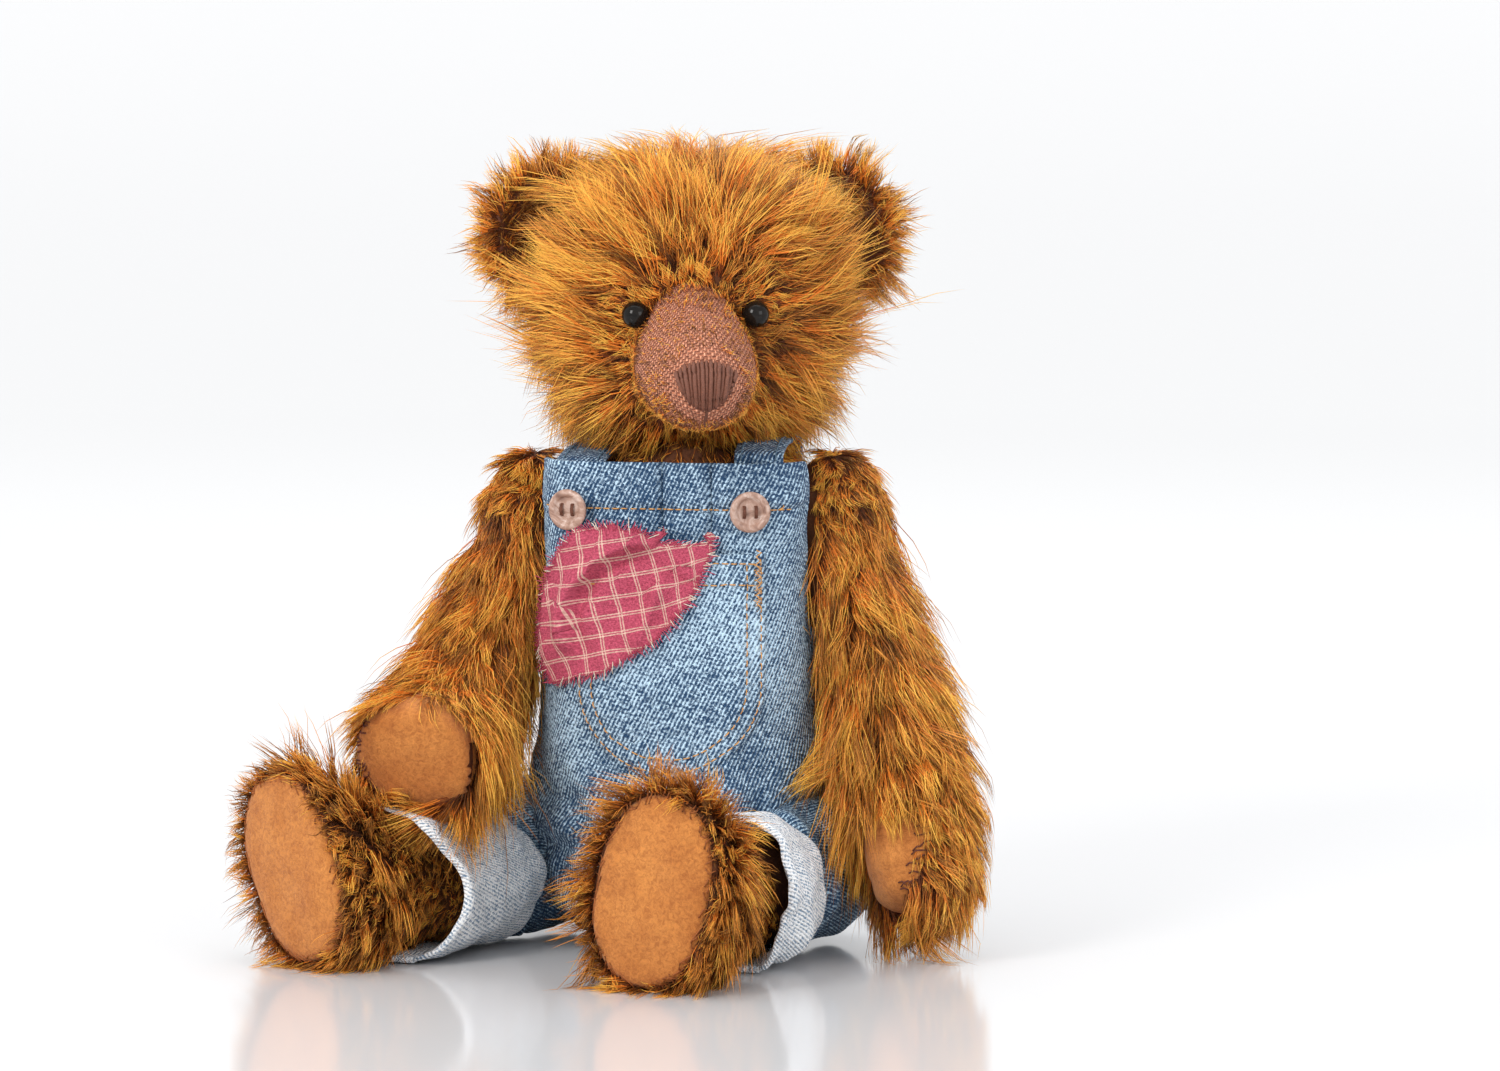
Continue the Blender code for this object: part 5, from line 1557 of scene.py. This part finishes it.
# ---- arms and legs ------------------------------------------------------------------------
TROUSER = [(-17, 0, 12, 14, 0), (-8, 0, 15.5, 19, 0), (8, -0.5, 16.5, 20, 0), (26, -2, 15.6, 18.6, 0),
           (38, -3.4, 15.6, 17.8, 0), (50, -3.4, 17.4, 18.4, 0)]        # rows like LEG's
HIP_DOME = 8.5 * MM                        # how far the trousers' closed hip end stands out
CUFF_PATH = [(34, 6.2), (34.6, 7.6), (39, 8.4), (48, 10.2), (57, 13.0), (62, 14.4), (63.6, 13.4),
             (62.4, 12.2), (53, 8.8), (42, 4.8)]        # (along the leg, out from it), mm
CUFF_REACH = {1: 1.0, -1: 13.0}            # how much further along the leg the cuff's edge lies, mm
CUFF_MOUTH = {1: 8.0, -1: 30.0}            # how far the cuff's inner side is pushed back up the leg, mm
CLOTH_CLEAR = 1.4 * MM                     # how far the legs' denim stays off the floor
FUR_START = {1: 50, -1: 32}                # how far along the leg the pile begins, inside the cuff, mm
SOLE_HALF_WIDE, SOLE_HALF_HIGH = 17.0, 27.2
PAW_PADS = {
    1: (4, (-0.72, -0.69, 0.0), 12.5, 18.5),
    -1: (0, (-0.12, -0.98, 0.10), 18.8, 17.2),
}       # height above the paw's centre, facing, half width, half height, mm
PAW_SEWING = {1: (40, 215), -1: (255, 395)}     # the part of each paw pad's edge that is overcast, degrees


PAW_PLACES = {1: (38.5, 33, -96), -1: (34, 49, -65)}    # out, forward and up from the shoulder, mm
PAD_RINGS, PAD_TURNS, PAD_START = 26, 96, 0.015         # rings, places round each, the first ring's share
PAD_STITCH_PITCH = 2.1                                  # mm


def limb_pile(name, body, surface, count, keep_at, flow_at, length_at, rng, lift, droop=0.35, bias=-0.1):
    """A limb's pile: keep_at says where it grows, flow_at how it lies, length_at how long it is, in mm."""
    p, n, along = sample(surface, count, rng)
    keep = keep_at(p, n)
    p, n, along = p[keep], n[keep], along[keep]
    flow = along_skin(flow_at(p, n, along), n)
    pile(name, body, p, n, flow, length_at(p) * MM, lift, droop, rng, shade_bias=bias)


def paw_centre(side):
    """The middle of a paw's pad, inside the arm."""
    out, ahead, up = PAW_PLACES[side]
    shoulder = JOINT_PLACES[f"shoulder_{SIDE_WORDS[side]}"]
    return shoulder + np.array([side * out, -ahead, up + PAW_PADS[side][0]]) * MM


def felt_pad(name, tree, centre, facing, half_wide, half_high, body, node, rng, power=2.0, up=(0, 0, 1),
             thread=None, sewn=(0, 360), reach=2.1):
    """A crowned felt pad laid over a stuffed shape, overcast along its edge between two angles."""
    facing = unit(facing)
    side = unit(np.cross(facing, up))
    up = np.cross(side, facing)
    a, b = superellipse(half_wide, half_high, power, PAD_TURNS)
    grid, normals = [], []
    for k in range(PAD_RINGS):
        t = PAD_START + (1 - PAD_START) * k / (PAD_RINGS - 1)
        row, row_normals = [], []
        for x, y in zip(a * t, b * t):
            start = centre + (side * x + up * y + facing * 60) * MM
            hit, normal, _, _ = tree.ray_cast(Vector(start), Vector(-facing), 90 * MM)
            if hit is None:
                hit, normal, _, _ = tree.find_nearest(Vector(centre + (side * x + up * y) * MM))
            row.append(np.array(hit))
            turned = Vector(normal).dot(Vector(facing)) <= 0
            row_normals.append(-np.array(normal) if turned else np.array(normal))
        grid.append(row)
        normals.append(row_normals)
    grid, normals = np.array(grid), unit(np.array(normals))
    crown = 0.4 + 1.5 * np.sqrt(1 - np.linspace(PAD_START, 1, PAD_RINGS) ** 6)
    dents = waves(grid, 9 * MM, 5) * 0.25 * MM
    top = grid + normals * (crown * MM)[:, None, None] + normals * dents[..., None]
    under = grid - normals * 0.5 * MM
    surface = facing_out(Surface(np.concatenate([top, under[::-1]])))
    made = surface_object(name, surface, FELT)
    close_ends(made, surface)
    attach(made, body)
    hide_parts(node)
    paths = pad_stitches(grid, normals, top, half_high, sewn, reach, rng)
    threads(f"{name}_stitching", paths, 0.24 * MM, thread or PAD_THREAD, "brown_thread", body)


def pad_stitches(grid, normals, top, half_high, sewn, reach, rng):
    """Overcast stitches from outside a pad's edge up over its felt: they follow the rows of its surface."""
    edge, out = grid[-1], normals[-1]
    paths = []
    count = int(np.linalg.norm(np.roll(edge, -1, 0) - edge, axis=1).sum() / MM / PAD_STITCH_PITCH)
    for k in range(count):
        j = int(k * PAD_TURNS / count)
        if (360 * j / PAD_TURNS - sewn[0]) % 360 > sewn[1] - sewn[0]:
            continue
        inward = unit(grid[-5, j] - edge[j])
        lean = rng.integers(-1, 4)
        covered = 1 + reach * rng.uniform(0.7, 1.25) * (PAD_RINGS - 1) / half_high
        rows = np.minimum(np.arange(0, covered), PAD_RINGS - 2)
        line = [edge[j] - inward * 1.3 * MM + out[j] * 0.2 * MM]
        for row in rows.astype(int):
            column = (j + int(lean * row / rows[-1])) % PAD_TURNS
            line.append(top[-1 - row, column] + normals[-1 - row, column] * 0.25 * MM)
        line.append(grid[-1 - int(rows[-1]), column])
        if min(point[2] for point in line) > FLOOR_CLEAR * 2:
            paths.append(line)
    return paths


def in_oval(p, centre, facing, half_wide, half_high, margin):
    """Whether points lie over an oval pad, less a margin in mm."""
    facing = unit(facing)
    side = unit(np.cross(facing, UP))
    up = np.cross(side, facing)
    d = (p - centre) / MM
    level = (d @ side / (half_wide - margin)) ** 2 + (d @ up / (half_high - margin)) ** 2
    return (level < 1) & (d @ facing > 0)


def arm(side, word, rng):
    """An arm's cover, its paw pad and its pile."""
    surface = facing_out(arm_surface(side))
    body = f"arm_{word}"
    skin(f"arm_backing_{word}", surface, BACKING, "mohair", body, f"arm_{word}_cover",
         f"arm_{word}_stuffing")
    _, facing, half_wide, half_high = PAW_PADS[side]
    centre = paw_centre(side)
    felt_pad(f"paw_felt_{word}", surface.tree(), centre, facing, half_wide, half_high, body,
             f"paw_pad_{word}", rng, sewn=PAW_SEWING[side], reach=3.4)
    shoulder = JOINT_PLACES[f"shoulder_{word}"]
    centres = arm_frames(side)[0]

    def surface_middle(z):
        """How far out the arm's middle is at a height."""
        return np.interp(z, centres[::-1, 2], centres[::-1, 0] * side)

    def keep_at(p, n):
        outside = column_level(p + n * 3 * MM, DUNGAREES, 1.5) > 1
        inner = (n[:, 0] * side < -0.55) & (np.linalg.norm(p - shoulder, axis=1) < 24 * MM)
        return outside & ~inner & ~in_oval(p, centre, facing, half_wide, half_high, 1.8)

    def flow_at(_, n, along):
        inner = smoothstep(-n[:, :1] * side, 0.0, 0.6)
        return along - 0.6 * UP + np.array([side * 0.25, 0, 0]) * (1 - 2.4 * inner)

    def length_at(p):
        pad_gap = np.linalg.norm(p - centre, axis=1) / MM
        from_top = (shoulder[2] - p[:, 2]) / MM
        towards_body = smoothstep((surface_middle(p[:, 2]) - p[:, 0] * side) / MM, 0, 8)
        inner = towards_body * smoothstep(from_top, 34, 50)
        near_pad = smoothstep(26 - pad_gap, 0, 14)
        return (16.5 - 6.0 * near_pad) * (0.42 + 0.58 * smoothstep(from_top, -10, 8)) * (1 + 0.5 * inner)

    limb_pile(f"arm_mohair_{word}", body, surface, ARM_STRANDS, keep_at, flow_at, length_at, rng, lift=0.26)


def limb_folds(points, along, seed, depth):
    """Creases round a soft tube, deeper towards its end."""
    along = along[:, None]
    ringy = np.sin(along * 2 * math.pi / 11 + 2.4 * waves(points, 22 * MM, seed)) * 0.6
    crumple = creases(points, 16 * MM, seed + 2) * 1.5 - 0.5
    return depth * ((ringy + crumple) * smoothstep(along, 2, 30) + waves(points, 14 * MM, seed + 1) * 0.8)


def mouth_pull(points, side):
    """How much each point of a ring round the leg is drawn back up it, 0 to 1, most on its inner side."""
    radial = unit(points - points.mean(1, keepdims=True))
    inner_side = unit([-side * 0.9, 0, -0.08])
    return np.exp(-((1 - radial @ inner_side) / 0.26))[..., None]


def trouser_leg(side, word, ahead):
    """A trouser leg: closed at the hip, where it turns inside the body denim, and open at the cuff."""
    trousers = leg_surface(side, TROUSER, 1.6 * MM, caps=False, sides=120)
    hip_end = trousers.points[0].mean(0)
    hipward = unit(hip_end - trousers.points[3].mean(0))
    end_ring = trousers.points[0] - hip_end
    closing = [hip_end + end_ring * share + hipward * HIP_DOME * math.sqrt(1 - share ** 2)
               for share in (0.02, 0.35, 0.6, 0.8, 0.93)]
    rows = np.linspace(TROUSER[0][0], TROUSER[-1][0], trousers.points.shape[0])
    rows = np.concatenate([np.full(len(closing), rows[0]), rows])
    trousers = facing_out(Surface(np.concatenate([closing, trousers.points])))
    trousers = trousers.grown(np.maximum(limb_folds(trousers.points, rows, 80 + side, 1.5), -1.2) * MM)
    pull = mouth_pull(trousers.points, side) * smoothstep(rows, 10, 50)[:, None, None]
    trousers.points = trousers.points - ahead * pull * 0.9 * CUFF_MOUTH[side] * MM
    trousers.points[..., 2] = np.maximum(trousers.points[..., 2], CLOTH_CLEAR)
    cloth_piece(f"trouser_denim_{word}", trousers, TROUSER_DENIM, f"leg_{word}", 1.0,
                nodes=[f"trouser_leg_{word}"])


def cuff(side, word, ahead):
    """A turned-up cuff: a loose band that shows the denim's pale reverse, its inner side pushed back."""
    path = through(CUFF_PATH, 5)
    path[:, 0] += CUFF_REACH[side] * smoothstep(path[:, 0], 44, 62)
    frames = leg_frames(side, [(along, -2.6, 12.6, 13.6, 0) for along, _ in path], 1)
    points = np.array([ring(middle, outward, up, wide + out * MM, high + out * 0.8 * MM, 2.2, 144)
                       for (middle, outward, up, wide, high, _), (_, out) in zip(frames, path)])
    axis = points.mean(1, keepdims=True)
    radial = unit(points - axis)
    loose = smoothstep(path[:, 0], 34, 58)[:, None, None]
    free = smoothstep(path[:, 0], 50, 60)[:, None, None]
    turn = radial * 20 * MM + axis[:1]
    flop = np.maximum(waves(turn, 21 * MM, 91 + side)[..., None], -0.1 - free)
    inner_side = unit([-side * 0.85, 0, 0.25])
    pinch = np.exp(-((1 - radial @ inner_side) / 0.05))[..., None]
    points = points + radial * (flop * 4.2 * loose - pinch * 9.0 * free) * MM
    points = points + frames[0][5] * (waves(turn, 24 * MM, 95 + side)[..., None] * 3.4 * loose * MM)
    points = points - ahead * mouth_pull(points, side) * (0.5 + 0.5 * loose) * CUFF_MOUTH[side] * MM
    dents = 0.45 * waves(points, 7 * MM, 98) + 1.3 * np.maximum(waves(points, 15 * MM, 99), -0.25)
    points = points + radial * dents[..., None] * MM
    points[..., 2] = np.maximum(points[..., 2], CLOTH_CLEAR)
    cloth_piece(f"cuff_denim_{word}", facing_out(Surface(points)), DENIM_REVERSE,
                f"leg_{word}", 0.9,
                nodes=[f"cuff_{word}"])


def leg(side, word, rng):
    """A leg's cover, its sole, its denim and its pile."""
    body = f"leg_{word}"
    surface = facing_out(leg_surface(side))
    skin(f"leg_backing_{word}", surface, BACKING, "mohair", body, f"leg_{word}_cover",
         f"leg_{word}_stuffing")
    sole_middle, _, up, _, _, ahead = leg_frames(side, LEG)[-1]
    felt_pad(f"sole_felt_{word}", surface.tree(), sole_middle, ahead, SOLE_HALF_WIDE, SOLE_HALF_HIGH, body,
             f"sole_pad_{word}", rng, power=2.4, up=up, thread=SOLE_THREAD, reach=1.2)
    trouser_leg(side, word, ahead)
    cuff(side, word, ahead)

    def along_leg(p):
        return (p - JOINT_PLACES[f"hip_{word}"]) @ ahead / MM

    def keep_at(p, n):
        sole = n @ ahead > 0.8
        return (along_leg(p) > FUR_START[side]) & ~sole & (p[:, 2] + n[:, 2] * MM > 0.4 * MM)

    def flow_at(p, *_):
        return ahead + 0.35 * unit(p - sole_middle) - 0.2 * UP

    def length_at(p):
        return 3.5 + 9.0 * smoothstep(along_leg(p), 58, 84) - 5.0 * smoothstep(along_leg(p), 96, 106)

    # the legs' pile is darker than the arms': painted shade for their shaded sides and undersides
    limb_pile(f"leg_mohair_{word}", body, surface, LEG_STRANDS, keep_at, flow_at, length_at, rng,
              lift=0.5, droop=0.15, bias=-0.75)


# ---- stage, light and camera --------------------------------------------------------------
FLOOR_HALF = 12.0
CAMERA_AZIMUTH, CAMERA_ELEVATION = math.radians(8), math.radians(6)
CAMERA_AWAY, CAMERA_LENS, CAMERA_SENSOR = 2.42, 200, 36     # m, mm, mm
CAMERA_AIM = (0.0189, 0.1175)              # to the camera's right of the origin and up, m
LIGHT_AIM = (0, 0, 0.11)
LIGHTS = [                                 # name, place, size, power, colour
    ("key_window", (-0.55, -0.95, 0.75), (0.4, 0.5), 8, (1, 0.98, 0.95)),
    ("fill_window", (0.95, -0.8, 0.5), (0.6, 0.6), 3, (0.97, 0.98, 1)),
    ("top_panel", (0.0, 0.15, 1.2), (1.2, 0.9), 4, (1, 1, 1)),
    ("back_panel", (0.0, 1.1, 0.8), (1.6, 0.8), 3, (1, 1, 1)),
]
INNER_PARTS = {"stuffing": "wadding", "disc": "hardboard", "bolt": "zinc_steel", "nut": "zinc_steel"}


def stage_look():
    """Pale polished floor with painted shadow: a little darker round the bear."""
    look = Look("studio_floor", 0.12)
    away = look.node("ShaderNodeVectorMath", operation="LENGTH")
    look.feed(away.inputs[0], look.place())
    distance = look.maths("DIVIDE", away.outputs["Value"], 2500.0)
    # painted shadow: the floor is darker within about 0.25 m of the bear and brightens out to 1.75 m
    return look.finish(look.ramp(distance, ((0.1, (0.675, 0.675, 0.685)), (0.7, (0.80, 0.80, 0.805)))))


def stage():
    """A wide pale glossy floor."""
    corners = [(a * FLOOR_HALF, b * FLOOR_HALF, 0) for a, b in ((-1, -1), (1, -1), (1, 1), (-1, 1))]
    floor = mesh_from("studio_floor", corners, [[0, 1, 2, 3]])
    floor.data.materials.append(stage_look())


def area_light(name, place, size, power, colour):
    light = bpy.data.lights.new(name, "AREA")
    light.shape = "RECTANGLE"
    light.size, light.size_y = size
    light.energy = power
    light.color = colour
    made = bpy.data.objects.new(name, light)
    made.location = place
    made.rotation_euler = (Vector(LIGHT_AIM) - Vector(place)).to_track_quat("-Z", "Y").to_euler()
    bpy.context.scene.collection.objects.link(made)


def studio():
    """Bright even surroundings, two windows and two panels."""
    world = bpy.data.worlds.new("studio_world")
    world.use_nodes = True
    background = world.node_tree.nodes["Background"]
    background.inputs["Color"].default_value = (0.985, 0.99, 1.0, 1)
    background.inputs["Strength"].default_value = 1.02
    bpy.context.scene.world = world
    for light in LIGHTS:
        area_light(*light)
    bpy.context.scene.view_settings.view_transform = "Standard"


def camera():
    """A long lens, a little to the bear's left and a little above it."""
    right = np.array([math.cos(CAMERA_AZIMUTH), math.sin(CAMERA_AZIMUTH), 0])
    level, rise = math.cos(CAMERA_ELEVATION), math.sin(CAMERA_ELEVATION)
    back = np.array([math.sin(CAMERA_AZIMUTH) * level, -math.cos(CAMERA_AZIMUTH) * level, rise])
    aim = right * CAMERA_AIM[0] + UP * CAMERA_AIM[1]
    data = bpy.data.cameras.new("camera")
    data.lens = CAMERA_LENS
    data.sensor_width = CAMERA_SENSOR
    made = bpy.data.objects.new("camera", data)
    made.location = aim + back * CAMERA_AWAY
    made.rotation_euler = Vector(-back).to_track_quat("-Z", "Y").to_euler()
    bpy.context.scene.collection.objects.link(made)
    bpy.context.scene.camera = made


def hidden_pieces():
    """Gives the pieces kept from the CAD their own grain."""
    for node, made in frame["nodes"].items():
        for part, look in INNER_PARTS.items():
            if part in node:
                made.data.materials.clear()
                made.data.materials.append(INNER_LOOKS[look])


def main():
    """Everything, in the order of its random draws."""
    stage()
    studio()
    camera()
    rng = np.random.default_rng(SEED)
    head(rng)
    torso(rng)
    body_denim()
    body_stitches(rng)
    pocket(rng)
    handkerchief(rng)
    for side, word in BEAR_SIDES:
        strap(side, word, rng)
        button(side, word)
        arm(side, word, rng)
        leg(side, word, rng)
    hidden_pieces()


main()
